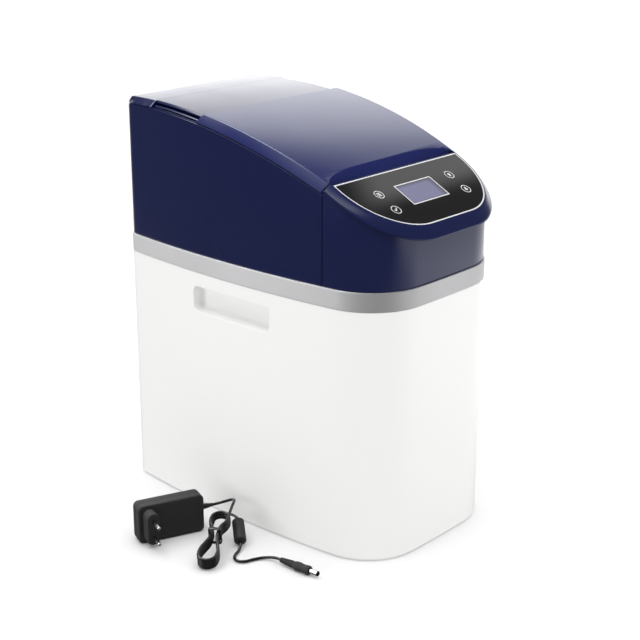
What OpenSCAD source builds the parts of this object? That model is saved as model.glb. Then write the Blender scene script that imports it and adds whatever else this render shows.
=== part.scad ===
// Compact cabinet water softener with a sliding salt lid and a plug-in supply.
// Millimetres, +Z up, front at -Y, origin on the floor under the cabinet's centre.

/* [Cabinet] */
// Width of the cabinet at its widest
body_w = 236; // [220:1:260]
// Depth of the cabinet without the panel lip and the ports
body_d = 382; // [360:1:410]
// Height of the white cabinet up to the belt
body_h = 282; // [250:1:320]
// Wall thickness of the cabinet
body_wall = 3; // [2:0.5:4]
// Thickness of the cabinet's floor
floor_t = 4; // [3:0.5:6]
// How far the long sides bulge out
side_bow = 14; // [8:1:18]
// How far the front bulges out
front_bow = 4; // [2:0.5:8]
// Radius of the two front corners in plan
front_corner_r = 66; // [50:1:75]
// Radius of the two rear corners in plan
rear_corner_r = 15; // [12:1:25]
// Height of the set-in foot
foot_rim = 2; // [1:0.5:3]
// How far the foot is set in
foot_in = 1.5; // [1:0.5:2.5]

/* [Handles] */
// Length of a handle pocket
pocket_l = 117; // [95:1:125]
// Height of a handle pocket
pocket_h = 29; // [24:1:34]
// Depth of a handle pocket below the side's widest point
pocket_depth = 16; // [12:1:18]
// Corner radius of a handle pocket
pocket_r = 7; // [4:1:10]
// Distance of the pocket's middle behind the cabinet's middle
pocket_y = 13.5; // [0:0.5:20]
// Distance of the pocket's middle below the cabinet's top
pocket_drop = 30.5; // [26:0.5:60]

/* [Belt] */
// Height of the silver belt
belt_h = 21; // [14:1:28]
// How far the belt stands proud of the cabinet
belt_proud = 0.4; // [0:0.1:1]
// Thickness of the belt
belt_t = 4.5; // [4:0.5:6]

/* [Hood] */
// How far the hood is set in from the cabinet's side
hood_inset = 1; // [0.5:0.5:2]
// Wall thickness of the hood
hood_wall = 2.5; // [2:0.5:4]
// Radius of the hood's upper rim, along which the lid slides
rim_r = 660.6; // [650:0.1:670]
// Depth of the rim's outer step
rim_step = 1.4; // [0.5:0.1:2.5]
// Width of the rim's outer step
rim_step_w = 1.2; // [0.8:0.1:1.8]
// Depth of the rim's centre below the hood's foot
rim_drop = 508; // [480:1:530]
// Distance of the rim's centre in front of the hood's rear wall
rim_in = 40; // [30:1:60]
// Distance of the seam behind the hood's front
seam_back = 74.4; // [65:0.1:85]
// Half of the gap at the seam
seam_gap = 0.3; // [0.2:0.1:0.6]

/* [Salt lid] */
// Height of the sloped band along the lid's edge
band_h = 9; // [7:0.5:12]
// How far the sloped band leans in
band_in = 8; // [5:0.5:10]
// Thickness of the lid's shell
lid_t = 2.6; // [2:0.2:3.4]
// Clearance under the lid's edge
lid_gap = 0.4; // [0.3:0.05:0.8]
// Angle of the lid's rear end from the rim's top
lid_rear_a = 7.7; // [6:0.1:9]
// Travel of the lid along the rim, as an angle
lid_travel_a = 6.4; // [4:0.1:6.5]
// Width of the finger scoop
scoop_w = 210; // [180:1:212]
// Length of the finger scoop behind the lid's front
scoop_l = 16.3; // [10:0.1:18]
// Width of the bar along the lid's front
front_bar = 20; // [18:0.5:26]
// Height of the guide ribs
rib_h = 1.7; // [1.4:0.1:2.2]
// Clearance of the guide ribs in their grooves
rib_gap = 0.3; // [0.25:0.05:0.5]

/* [Rear cover] */
// Overlap of the rear cover under the lid
cover_lap = 14; // [8:1:20]
// Clearance between the lid and the rear cover
cover_gap = 0.5; // [0.4:0.1:1]
// Width of the rear cover's solid side rails
rail_w = 18; // [16:1:24]
// Thickness of the rear cover
cover_t = 2.5; // [2:0.5:4]

/* [Control housing] */
// Slope of the control panel
panel_slope = 27.5; // [20:0.5:32]
// Slope of the lip's lower edge
lip_slope = 29.7; // [28:0.1:36]
// Height of the lip at the seam
lip_h = 7.5; // [5:0.1:9]
// Width of the rim around the control panel
lip_rim = 2; // [1.5:0.5:4]
// How far the lip stands out from the control panel
lip_out = 8; // [6:0.1:12]
// Width of the control panel
panel_w = 203; // [180:1:206]
// Depth of the control panel seen from above
panel_d = 74.5; // [65:0.5:80]
// Corner radius of the control panel seen from above
panel_r = 68; // [50:1:72]
// Distance of the control panel in front of the lid
panel_set = 4.2; // [3:0.1:8]
// Thickness of the control panel
panel_t = 2; // [1.5:0.5:3]
// Thickness of the housing under the control panel
deck_t = 6; // [5:0.5:8]
// Width of the ledge that carries the control panel
ledge_w = 5; // [3:0.5:8]

/* [Display and keys] */
// Width of the display window
lcd_w = 57; // [45:1:64]
// Height of the display window
lcd_h = 29; // [22:1:32]
// Distance of the display's upper edge from the panel's upper edge, along the slope
lcd_down = 23.7; // [20:0.1:30]
// Distance of a key from the middle
key_x = 59; // [54:1:68]
// Distance of the upper keys from the panel's upper edge, along the slope
key_down = 28; // [22:0.5:32]
// Distance between the upper and the lower keys
key_pitch = 25.4; // [22:0.1:28]
// Diameter of a key
key_d = 12.4; // [10:0.1:14]
// Travel of a key
key_travel = 0.7; // [0.4:0.1:1]
// Length of the posts between the panel and the board
post_l = 10; // [9:0.5:14]

/* [Resin tank] */
// Radius of the resin tank
tank_r = 72; // [64:1:76]
// Height of the tank's neck above the floor of the cabinet
tank_h = 312; // [290:1:320]
// Height of the tank's domes
dome_h = 44; // [36:1:50]
// Wall thickness of the tank
tank_wall = 4; // [3:0.5:6]
// Outer radius of the tank's neck
neck_r = 32; // [28:1:36]
// Height of the tank's neck
neck_h = 18; // [12:1:22]
// Radius of the riser tube
riser_r = 13; // [10:0.5:14]
// Depth of the resin in the tank
resin_h = 190; // [120:5:205]
// Gap between the tank and the brine well
tank_gap = 3; // [2:0.5:8]
// Gap behind the tank
tank_back = 16; // [10:1:24]

/* [Valve] */
// Radius of the valve body
valve_r = 34; // [32:1:38]
// Height of the valve body
valve_h = 60; // [54:1:66]
// Half of the distance between the two water ports
port_x = 32; // [28:1:40]
// Height of the water ports above the valve's foot
port_z = 34; // [30:1:38]
// Outer radius of a water port, three quarter inch pipe thread
port_r = 13.22; // [10:0.01:17]
// Bore radius of a water port
port_bore_r = 9.5; // [7:0.5:10]
// Length of a water port outside the hood
port_out = 26; // [18:1:34]
// Outer radius of the drain spigot
drain_r = 6.5; // [5:0.5:9]
// Teeth of the drive gear
gear_teeth = 36; // [24:12:48]
// Teeth of the pinion
pinion_teeth = 12; // [12:1:16]
// Module of the gear teeth
gear_module = 1.5; // [1.2:0.1:1.6]
// Thickness of the gears
gear_t = 8; // [5:1:10]
// Radius of the valve's drive shaft
shaft_r = 6; // [4:0.5:8]
// Running clearance of shafts and pins
run_gap = 0.06; // [0.03:0.01:0.1]
// Radius of the drive motor
motor_r = 17; // [14:1:20]
// Height of the drive motor
motor_h = 24; // [18:1:28]

/* [Brine] */
// Radius of the brine well
well_r = 21; // [19:1:23]
// Wall thickness of the brine well
well_wall = 2; // [1.5:0.5:3]
// Height of the brine well
well_h = 276; // [200:1:280]
// Gap between the brine well and the cabinet's side
well_gap = 8; // [7:0.5:12]
// Radius of the brine riser pipe
pipe_r = 5; // [4:0.5:6]
// Radius of the brine float
float_r = 16; // [13:0.5:17]
// Height of the brine float
float_h = 40; // [30:1:60]
// Travel of the brine float
float_travel = 100; // [50:5:120]
// Bend radius of the brine tube
tube_bend = 16; // [14:1:24]
// Radius of the overflow spigot
overflow_r = 6.5; // [5:0.5:8]

/* [Supply] */
// Length of the plug-in adapter
adapter_l = 76.7; // [66:0.1:86]
// Width of the plug-in adapter, upright as it stands
adapter_w = 45; // [42:1:54]
// Thickness of the plug-in adapter
adapter_t = 21; // [20:1:30]
// Corner radius of the adapter
adapter_r = 6; // [3:0.5:8]
// Diameter of the supply lead
cord_d = 3.2; // [2.8:0.1:3.2]
// Number of loops in the hank
hank_loops = 4; // [3:1:4]
// Length of the hank
hank_l = 84; // [70:1:90]
// Bend radius at the hank's folds
hank_fold_r = 9.8; // [9.6:0.1:11]
// Half of the distance between the runs at the hank's waist
hank_waist = 4; // [3.5:0.1:6]
// Distance between the hank's layers
hank_pitch = 3.75; // [3.7:0.05:4.2]
// Length of the ferrite sleeve
ferrite_l = 30; // [24:1:34]
// Diameter of the ferrite sleeve
ferrite_d = 13.6; // [11:0.2:16]
// Diameter of the moulded plug
plug_d = 10; // [8:0.5:11]

/* [Hidden] */
fine = 96;
round_fn = 48;

// Plan outline: four arcs per half that keep their centres when the outline is set in by t
side_r = (pow(body_d / 2, 2) + pow(side_bow, 2)) / (2 * side_bow);
front_r = (pow(body_w / 2, 2) + pow(front_bow, 2)) / (2 * front_bow);
side_c = [side_r - body_w / 2, 0];
front_c = [0, front_r - body_d / 2];
function meet(a, ra, b, rb) =
    let (d = norm(b - a), k = (ra * ra - rb * rb + d * d) / (2 * d), e = (b - a) / d)
    a + k * e + sqrt(ra * ra - k * k) * [-e.y, e.x];
fcorner_c = meet(side_c, side_r - front_corner_r, front_c, front_r - front_corner_r);
rcorner_y = body_d / 2 - rear_corner_r;
rcorner_c = [side_c.x - sqrt(pow(side_r - rear_corner_r, 2) - pow(rcorner_y, 2)), rcorner_y];
function bearing(a, b) = let (v = atan2(b.y - a.y, b.x - a.x)) v < 0 ? v + 360 : v;
a_front = bearing(front_c, fcorner_c);
a_side_f = bearing(side_c, fcorner_c);
a_side_r = bearing(side_c, rcorner_c);
function arc(c, r, a, b, n, from = 0) =
    [for (i = [from:n]) c + r * [cos(a + (b - a) * i / n), sin(a + (b - a) * i / n)]];
function half_plan(t) = concat(
    arc(front_c, front_r - t, 270, a_front, 3),
    arc(fcorner_c, front_corner_r - t, a_front, a_side_f, 14, 1),
    arc(side_c, side_r - t, a_side_f, a_side_r, 20, 1),
    arc(rcorner_c, rear_corner_r - t, a_side_r, 90, 6, 1));
function mirrored(pts) = [for (i = [len(pts) - 1:-1:0]) if (abs(pts[i].x) > 0.001) [-pts[i].x, pts[i].y]];
function plan(t) = concat(half_plan(t), mirrored(half_plan(t)));
function side_x(y, t) = side_c.x - sqrt(pow(side_r - t, 2) - y * y);

// Levels and places that the pieces share
far = 900;
// Clearances of pieces that are pushed together
slip = 0.1;
snug = 0.15;
easy = 0.3;
belt_z = body_h;
hood_z = body_h + belt_h;
hood_d = body_d - 2 * hood_inset;
rim_c = [hood_d / 2 - rim_in, hood_z - rim_drop];
lid_edge_r = rim_r + lid_gap;
lid_r = lid_edge_r + band_h;
cover_r = lid_r - lid_t - cover_gap;
seam_y = -hood_d / 2 + seam_back;
lid_front_a = asin((rim_c.x - seam_y - seam_gap) / (lid_r - band_h / 2));
function rim_y(r, a) = rim_c.x - r * sin(a);
function rim_z(r, a) = rim_c.y + r * cos(a);
function rim_level(r, y) = rim_c.y + sqrt(r * r - pow(rim_c.x - y, 2));
deg_per_mm = 180 / PI / lid_r;

// A closed shell from matching left half outlines, lowest ring first, front to rear
module crown(rings) {
    m = len(rings) - 1;
    n = len(rings[0]) - 1;
    side = (m + 1) * (n + 1);
    left = [for (ring = rings) for (p = ring) p];
    right = [for (p = left) [-p.x, p.y, p.z]];
    function l(j, i) = j * (n + 1) + i;
    function r(j, i) = side + l(j, i);
    wall_l = [for (j = [0:m - 1]) for (i = [0:n - 1]) each
        [[l(j, i), l(j, i + 1), l(j + 1, i + 1)], [l(j, i), l(j + 1, i + 1), l(j + 1, i)]]];
    wall_r = [for (j = [0:m - 1]) for (i = [0:n - 1]) each
        [[r(j, i), r(j + 1, i + 1), r(j, i + 1)], [r(j, i), r(j + 1, i), r(j + 1, i + 1)]]];
    caps = [for (i = [0:n - 1]) each
        [[l(m, i), l(m, i + 1), r(m, i + 1), r(m, i)], [l(0, i), r(0, i), r(0, i + 1), l(0, i + 1)]]];
    ends = [for (j = [0:m - 1]) each
        [[l(j, 0), l(j + 1, 0), r(j + 1, 0), r(j, 0)], [l(j, n), r(j, n), r(j + 1, n), l(j + 1, n)]]];
    polyhedron(concat(left, right), concat(wall_l, wall_r, caps, ends), convexity = 6);
}

// A bar of rectangular section that follows the rim, between two widths and two angles
module rim_bar(r0, r1, x0, x1, a0, a1) {
    translate([x0, rim_c.x, rim_c.y])
        rotate([0, 90, 0])
            rotate([0, 0, 180 + a0])
                rotate_extrude(angle = a1 - a0, $fn = 720)
                    translate([r0, 0])
                        square([r1 - r0, x1 - x0]);
}
module rim_drum(r) {
    translate([0, rim_c.x, rim_c.y])
        rotate([0, 90, 0])
            cylinder(r = r, h = far, center = true, $fn = 720);
}
module both_sides() {
    children();
    mirror([1, 0, 0]) children();
}
module plan_block(t, z0, z1) {
    translate([0, 0, z0])
        linear_extrude(z1 - z0)
            polygon(plan(t));
}
function round_rect(w, h, r, n = 6) = concat(
    arc([w / 2 - r, h / 2 - r], r, 0, 90, n), arc([r - w / 2, h / 2 - r], r, 90, 180, n),
    arc([r - w / 2, r - h / 2], r, 180, 270, n), arc([w / 2 - r, r - h / 2], r, 270, 360, n));

// Cabinet
pocket_z = body_h - pocket_drop;
pocket_x = body_w / 2 - pocket_depth;
module pocket(grow, x0, x1) {
    translate([0, pocket_y, pocket_z])
        rotate([90, 0, -90])
            translate([0, 0, x0])
                linear_extrude(x1 - x0)
                    polygon(round_rect(pocket_l + 2 * grow, pocket_h + 2 * grow, pocket_r + grow));
}
overflow_x = -60;
overflow_drop = 20;
overflow_z = body_h - overflow_drop;
overflow_hole_r = 8;
module cabinet_body() {
    color("whitesmoke") difference() {
        union() {
            difference() {
                plan_block(0, foot_rim, body_h);
                plan_block(body_wall, floor_t, body_h + 1);
            }
            plan_block(foot_in, 0, floor_t);
            intersection() {
                plan_block(body_wall / 2, floor_t, body_h - 1);
                both_sides() pocket(body_wall, pocket_x - body_wall, body_w / 2);
            }
        }
        both_sides() pocket(0, pocket_x, body_w / 2 + 1);
        translate([overflow_x, body_d / 2 - body_wall - 1, overflow_z])
            rotate([-90, 0, 0])
                cylinder(r = overflow_hole_r + slip, h = body_wall + 2, $fn = round_fn);
    }
}
module belt_trim() {
    color("silver") difference() {
        plan_block(-belt_proud, belt_z, hood_z);
        plan_block(belt_t - belt_proud, belt_z - 1, hood_z + 1);
    }
}

// Valve and tank places, used by the holes in the hood
well_x = -(body_w / 2 - body_wall - well_gap - well_r);
well_off = 8;
well_y = pocket_y + pocket_l / 2 + body_wall + well_off + well_r;
tank_x = well_x + well_r + tank_gap + tank_r;
tank_y = body_d / 2 - body_wall - tank_back - tank_r;
base_z = floor_t;
valve_z = base_z + tank_h;
port_y1 = body_d / 2 + port_out;
port_level = valve_z + port_z;
drain_drop = 7;
drain_level = valve_z + valve_h - drain_r - drain_drop;
hole_gap = 2.2;
socket_off = 50;
socket_x = tank_x - port_x - socket_off;
socket_z = port_level;
socket_r = 6;
socket_l = 12;

module hood_shell() {
    top = lid_r + rim_c.y + 1;
    color("midnightblue") difference() {
        intersection() {
            plan_block(hood_inset, hood_z, top);
            rim_drum(rim_r);
        }
        plan_block(hood_inset + hood_wall, hood_z - 1, top);
        translate([-far / 2, seam_y + seam_gap - far, 0]) cube([far, far, far]);
        difference() {
            plan_block(-1, hood_z - 1, top);
            plan_block(hood_inset + rim_step_w, hood_z - 2, top + 1);
            rim_drum(rim_r - rim_step);
        }
        for (x = [tank_x - port_x, tank_x + port_x])
            rear_hole(x, port_level, port_r + hole_gap);
        rear_hole(tank_x, drain_level, drain_r + hole_gap);
        rear_hole(socket_x, socket_z, socket_r + slip);
    }
}
module rear_hole(x, z, r) {
    translate([x, hood_d / 2 - hood_wall - 1, z])
        rotate([-90, 0, 0])
            cylinder(r = r, h = hood_wall + 2, $fn = round_fn);
}

// Rear cover: flush at the rear corners, set in along the sides where the lid slides over it
cover_low_r = rim_r + easy;
side_clear = 1.3;
cover_side = hood_inset + lid_t + side_clear;
cover_top_in = band_in + lid_t;
cover_a0 = lid_rear_a + cover_lap * deg_per_mm;
stop_room_a = 0.35;
stop_a = lid_rear_a - lid_travel_a - stop_room_a;
groove_lift = 1.4;
groove_r0 = cover_low_r + groove_lift;
groove_r1 = groove_r0 + rib_h + 2 * rib_gap;
groove_in = 19;
function rim_ring(r, t, a0, a1, n) =
    [for (i = [0:n]) let (a = a0 + (a1 - a0) * i / n, y = rim_y(r, a)) [side_x(y, t), y, rim_z(r, a)]];
rear_steps = 6;
step_a = 0.1;
function cover_ring(r, t_track, t_rear) = concat(
    rim_ring(r, t_track, cover_a0, stop_a, 12),
    rim_ring(r, t_rear, stop_a - step_a, stop_a - 2, 2),
    [for (p = arc(rcorner_c, rear_corner_r - t_rear, a_side_r, 90, rear_steps))
        [p.x, p.y, rim_level(r, p.y)]]);
module rear_cover() {
    color("midnightblue") difference() {
        crown([cover_ring(cover_low_r, cover_side, hood_inset),
            cover_ring(cover_r, hood_inset + cover_top_in, hood_inset + band_in)]);
        crown([rim_ring(cover_low_r - 1, cover_side + rail_w, cover_a0 + 1, stop_a - 1, 12),
            rim_ring(cover_r - cover_t, cover_side + rail_w, cover_a0 + 1, stop_a - 1, 12)]);
        both_sides()
            rim_bar(groove_r0, groove_r1, -body_w, groove_in - body_w / 2, stop_a + step_a, cover_a0 + 1);
    }
}

// Sliding salt lid
rear_slant = 0.7;
lid_steps = 18;
lid_wall_low = lid_t * 1.3 - 0.9;
lid_wall_top = lid_t * 1.3 - 1.6;
bar_a = lid_front_a - front_bar * deg_per_mm;
scoop_depth = band_h - 1.5;
scoop_steps = 12;
function scoop_edge(u) = pow(1 - pow(abs(u), 4), 2 / 3);
// Cutter of the scoop: a slanted face from a flat arc on the lid down to the foot of its front
module scoop() {
    foot_l = 1;
    over = 1;
    widen = 1 + (scoop_l / foot_l - 1) * (scoop_depth + over) / scoop_depth;
    edge = [for (i = [scoop_steps:-1:-scoop_steps])
        let (u = sin(90 * i / scoop_steps)) [u * scoop_w / 2, foot_l * scoop_edge(u)]];
    translate([0, rim_y(lid_r, lid_front_a), rim_z(lid_r, lid_front_a)])
        rotate([lid_front_a, 0, 0])
            translate([0, 0, -scoop_depth])
                linear_extrude(scoop_depth + over, scale = [1, widen], slices = 1)
                    polygon(concat(edge, [[-scoop_w / 2, -foot_l], [scoop_w / 2, -foot_l]]));
}
rib_a = 2.4;
rib_a0 = lid_rear_a + 0.4;
rib_root = 3.4;
rib_end = 3;
module salt_lid() {
    color("midnightblue") {
        difference() {
            crown([rim_ring(lid_edge_r, hood_inset, lid_front_a, lid_rear_a, lid_steps),
                rim_ring(lid_r, hood_inset + band_in, lid_front_a, lid_rear_a + rear_slant, lid_steps)]);
            crown([rim_ring(lid_edge_r - 1, hood_inset + lid_wall_low, bar_a, lid_rear_a - 1, lid_steps),
                rim_ring(lid_r - lid_t, hood_inset + band_in + lid_wall_top, bar_a, lid_rear_a - 1,
                    lid_steps)]);
            scoop();
        }
        both_sides()
            rim_bar(groove_r0 + rib_gap, groove_r0 + rib_gap + rib_h,
                side_x(rim_y(lid_edge_r, lid_rear_a), hood_inset + rib_root),
                groove_in - rib_end - body_w / 2, rib_a0, rib_a0 + rib_a);
    }
}

// Control housing: outline of the panel seen from above, and the two planes of the lip
panel_y = rim_y(lid_r, lid_front_a) - panel_set;
deck_y = rim_y(lid_r, lid_front_a) - 2 * seam_gap;
deck_z = rim_z(lid_r, lid_front_a);
front_y = panel_y - panel_d;
function deck_level(y) = deck_z - (deck_y - y) * tan(panel_slope);
function lip_level(y) = deck_z - lip_h - (deck_y - y) * tan(lip_slope);
lip_steps = 16;
function panel_half(o) = arc([panel_r - panel_w / 2, front_y + panel_r], panel_r + o, 270, 180, lip_steps);
// The lip grows towards the seam, where it is flush with the hood's side
lip_side = -side_x(deck_y, hood_inset) - panel_w / 2 - lip_out;
function lip_r(o, i) = panel_r + o + lip_side * o / lip_out * pow(i / lip_steps, 2);
function lip_half(o) = [for (i = [0:lip_steps]) let (a = 270 - 90 * i / lip_steps)
    [panel_r - panel_w / 2 + lip_r(o, i) * cos(a), front_y + panel_r + lip_r(o, i) * sin(a)]];
function lip_ring(o, f) = let (h = lip_half(o)) [for (p = concat(h, [[h[lip_steps].x, deck_y]]))
    [p.x, p.y, deck_level(p.y) * (1 - f) + lip_level(p.y) * f]];
function panel_plan(o) = let (h = concat(panel_half(o), [[-panel_w / 2 - o, panel_y + o]]))
    concat(h, [for (i = [len(h) - 1:-1:0]) [-h[i].x, h[i].y]]);
// Local frame of the panel: X across, Y up the slope, Z out of the panel, origin at its upper edge
module on_panel() {
    translate([0, panel_y, deck_level(panel_y)])
        rotate([panel_slope, 0, 0])
            children();
}
module below_deck(depth, thick) {
    on_panel() translate([-far / 2, -far / 2, -depth - thick]) cube([far, far, thick]);
}
module panel_slab(o, depth, thick) {
    intersection() {
        below_deck(depth, thick);
        translate([0, 0, hood_z]) linear_extrude(far) polygon(panel_plan(o));
    }
}
panel_gap = 0.15;
panel_sink = 0.2;
housing_floor = 2.5;
rear_wall_y = seam_y - seam_gap;
// Finger room behind the panel: the bar's top slopes down from the panel's upper edge to the seam
module bar_slope() {
    edge_y = panel_y + 0.9;
    room_w = panel_w - 5;
    drop = 4;
    translate([-room_w / 2, 0, 0])
        rotate([90, 0, 90])
            linear_extrude(room_w)
                polygon([[edge_y, deck_level(edge_y)], [deck_y + 1, deck_z - drop],
                    [deck_y + 1, deck_z + 1], [edge_y, deck_z + 1]]);
}
lip_belly = 0.3;
lip_round = 2;
module control_housing() {
    color("midnightblue") difference() {
        union() {
            crown([lip_ring(lip_out, 1), lip_ring(lip_out + lip_belly, 0.62),
                lip_ring(lip_out - lip_round, 0.28), lip_ring(lip_rim, 0)]);
            intersection() {
                plan_block(hood_inset, hood_z, deck_z);
                translate([-far / 2, rear_wall_y - far, 0]) cube([far, far, far]);
                translate([0, deck_y, deck_z - lip_h + 0.5])
                    rotate([lip_slope, 0, 0])
                        translate([-far / 2, -far / 2, -far]) cube([far, far, far]);
            }
        }
        intersection() {
            plan_block(hood_inset + hood_wall, hood_z + housing_floor, deck_z);
            translate([-far / 2, rear_wall_y - hood_wall - far, 0]) cube([far, far, far]);
            below_deck(deck_t, far);
        }
        panel_slab(panel_gap, -1, 1 + panel_sink + panel_t);
        bar_slope();
        intersection() {
            panel_slab(-ledge_w, -1, far / 4);
            translate([-far / 2, rear_wall_y - hood_wall - far, 0]) cube([far, far, far]);
            plan_block(hood_inset + hood_wall, hood_z + housing_floor, deck_z + 1);
        }
    }
}
lcd_mid = -lcd_down - lcd_h / 2;
lcd_gap = 0.2;
key_hole_r = key_d / 2 + easy;
panel_back = panel_sink + panel_t;
post_x = (key_x + lcd_w / 2) / 2 - 1.5;
post_r = 2.6;
post_ys = [lcd_mid - 14, lcd_mid + 8];
board_top = panel_back + post_l;
key_spots = [[-key_x, -key_down], [-key_x, -key_down - key_pitch],
    [key_x, -key_down], [key_x, -key_down - key_pitch]];
module control_panel() {
    color("black") difference() {
        union() {
            panel_slab(0, panel_sink, panel_t);
            on_panel()
                for (sx = [-1, 1])
                    for (y = post_ys)
                        translate([sx * post_x, y, -board_top])
                            cylinder(r = post_r, h = post_l + panel_t / 2, $fn = round_fn);
        }
        on_panel() {
            translate([-lcd_w / 2 - lcd_gap, lcd_mid - lcd_h / 2 - lcd_gap, -panel_back - 1])
                cube([lcd_w + 2 * lcd_gap, lcd_h + 2 * lcd_gap, panel_t + 2]);
            for (p = key_spots)
                translate([p.x, p.y, -panel_back - 1])
                    cylinder(r = key_hole_r, h = panel_t + 2, $fn = round_fn);
        }
    }
}
lcd_depth = 5;
module lcd_glass() {
    color("lightsteelblue") on_panel()
        translate([-lcd_w / 2, lcd_mid - lcd_h / 2, -panel_back])
            cube([lcd_w, lcd_h, panel_t]);
}
module lcd_frame() {
    rim = 4;
    seat = 2;
    color("dimgray") on_panel()
        translate([-lcd_w / 2 - rim, lcd_mid - lcd_h / 2 - rim, -board_top])
            difference() {
                cube([lcd_w + 2 * rim, lcd_h + 2 * rim, post_l]);
                translate([rim + seat, rim + seat, -1])
                    cube([lcd_w - 2 * seat, lcd_h - 2 * seat, post_l - lcd_depth + 1]);
            }
}
key_flange = 1.6;
key_flange_w = 1.4;
key_stem = 4;
key_stem_r = 2.5;
key_lap = 0.2;
switch_gap = 0.2;
module key(i) {
    color("gray") on_panel()
        translate([key_spots[i].x, key_spots[i].y, 0]) {
            translate([0, 0, -panel_back - key_lap])
                cylinder(d = key_d, h = panel_t + key_lap, $fn = round_fn);
            translate([0, 0, -panel_back - slip - key_flange])
                cylinder(r = key_hole_r + key_flange_w, h = key_flange, $fn = round_fn);
            translate([0, 0, -panel_back - key_flange - key_stem])
                cylinder(r = key_stem_r, h = key_stem, $fn = round_fn);
        }
}
module key_left_upper() { key(0); }
module key_left_lower() { key(1); }
module key_right_upper() { key(2); }
module key_right_lower() { key(3); }
board_rim = 13;
board_w = 2 * (key_x + board_rim);
board_h = key_pitch + 2 * (board_rim + 1);
board_t = 1.6;
module control_board() {
    hole_r = 1.3;
    switch_r = 3;
    chip = [22, 8, 8];
    switch_h = post_l - key_flange - key_stem - key_travel - switch_gap;
    color("darkgreen") on_panel() {
        difference() {
            translate([-board_w / 2, -key_down - key_pitch / 2 - board_h / 2, -board_top - board_t])
                cube([board_w, board_h, board_t]);
            for (sx = [-1, 1])
                for (y = post_ys)
                    translate([sx * post_x, y, -board_top - board_t - 1])
                        cylinder(r = hole_r, h = board_t + 2, $fn = round_fn);
        }
        for (p = key_spots)
            translate([p.x, p.y, -board_top])
                cylinder(r = switch_r, h = switch_h, $fn = round_fn);
        for (x = [-30, 4])
            translate([x, lcd_mid - 9, -board_top - board_t - chip.z])
                cube(chip);
    }
}
module board_screws() {
    head_h = 1.8;
    head_r = 2.4;
    shank_r = 1.2;
    color("silver") on_panel()
        for (sx = [-1, 1])
            for (y = post_ys)
                translate([sx * post_x, y, -board_top - board_t]) {
                    translate([0, 0, -head_h]) cylinder(r = head_r, h = head_h, $fn = round_fn);
                    cylinder(r = shank_r, h = board_t, $fn = round_fn);
                }
}

// Resin tank, its filling and the valve on its neck
module at_tank(z = 0) {
    translate([tank_x, tank_y, z]) children();
}
base_h = 36;
base_foot = 6;
base_wall = 2.5;
base_ring = 22;
neck_wall = 6;
tank_z = base_z + base_foot;
shoulder_z = valve_z - neck_h;
function dome(r, h, z, up, n = 10) =
    [for (i = [0:n]) let (a = 90 * i / n) [i == n ? 0 : r * cos(a), z + up * h * sin(a)]];
function tank_profile(r, g) = let (low = tank_z + dome_h, high = shoulder_z - dome_h)
    concat([for (i = [10:-1:0]) dome(r, dome_h - g, low, -1)[i]], dome(r, dome_h - g, high, 1));
module resin_tank() {
    color("steelblue") at_tank() difference() {
        union() {
            rotate_extrude($fn = fine) polygon(tank_profile(tank_r, 0));
            translate([0, 0, shoulder_z - dome_h / 2])
                cylinder(r = neck_r, h = neck_h + dome_h / 2, $fn = fine);
        }
        rotate_extrude($fn = fine) polygon(tank_profile(tank_r - tank_wall, tank_wall));
        translate([0, 0, shoulder_z - dome_h / 2])
            cylinder(r = neck_r - neck_wall, h = neck_h + dome_h, $fn = fine);
    }
}
module tank_base() {
    color("black") at_tank(base_z) difference() {
        cylinder(r = tank_r + base_wall, h = base_h, $fn = fine);
        translate([0, 0, -base_z])
            rotate_extrude($fn = fine) polygon(tank_profile(tank_r + snug, -snug));
        translate([0, 0, -1]) cylinder(r = tank_r - base_ring, h = base_h, $fn = fine);
    }
}
strainer_lift = 8;
strainer_z = tank_z + tank_wall + strainer_lift;
strainer_h = 34;
strainer_r = 19;
resin_gap = 0.3;
riser_wall = 2.5;
module resin_bed() {
    color("saddlebrown") at_tank() difference() {
        intersection() {
            rotate_extrude($fn = fine)
                polygon(tank_profile(tank_r - tank_wall - resin_gap, tank_wall + resin_gap));
            translate([0, 0, tank_z]) cylinder(r = tank_r, h = resin_h, $fn = fine);
        }
        cylinder(r = riser_r + resin_gap, h = valve_z, $fn = fine);
        cylinder(r = strainer_r + resin_gap, h = strainer_z + strainer_h + resin_gap, $fn = fine);
    }
}
riser_top = valve_z + 6;
module riser_tube() {
    color("white") at_tank(strainer_z + strainer_h) difference() {
        cylinder(r = riser_r, h = riser_top - strainer_z - strainer_h, $fn = round_fn);
        translate([0, 0, -1]) cylinder(r = riser_r - riser_wall, h = tank_h, $fn = round_fn);
    }
}
module strainer(r, h, bore_r) {
    slots = 16;
    slot_w = 1.2;
    slot_in = 6;
    floor_h = 3;
    difference() {
        cylinder(r = r, h = h, $fn = round_fn);
        translate([0, 0, floor_h]) cylinder(r = bore_r, h = h, $fn = round_fn);
        for (i = [0:slots - 1])
            rotate([0, 0, 360 * i / slots])
                translate([bore_r - 2, -slot_w / 2, slot_in]) cube([r, slot_w, h - 2 * slot_in]);
    }
}
module lower_strainer() {
    color("white") at_tank(strainer_z) strainer(strainer_r, strainer_h, riser_r - riser_wall);
}
upper_h = 28;
module upper_strainer() {
    color("white") at_tank(valve_z - upper_h) difference() {
        cylinder(r = neck_r - neck_wall - 2, h = upper_h, $fn = round_fn);
        translate([0, 0, -1]) cylinder(r = riser_r + easy, h = upper_h + 2, $fn = round_fn);
    }
}
seal_r = 1.8;
module tank_seal() {
    color("black") at_tank(valve_z - seal_r)
        rotate_extrude($fn = fine) translate([neck_r + seal_r + 0.2, 0]) circle(r = seal_r, $fn = round_fn);
}
flange_h = 8;
flange_w = 8;
flange_skirt = 10;
boss_wall = 3;
chamber_r = 25;
chamber_h = 14;
disc_h = 9;
module along_y(x, y, z) {
    translate([x, y, z]) rotate([-90, 0, 0]) children();
}
port_y0 = tank_y + 14;
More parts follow.
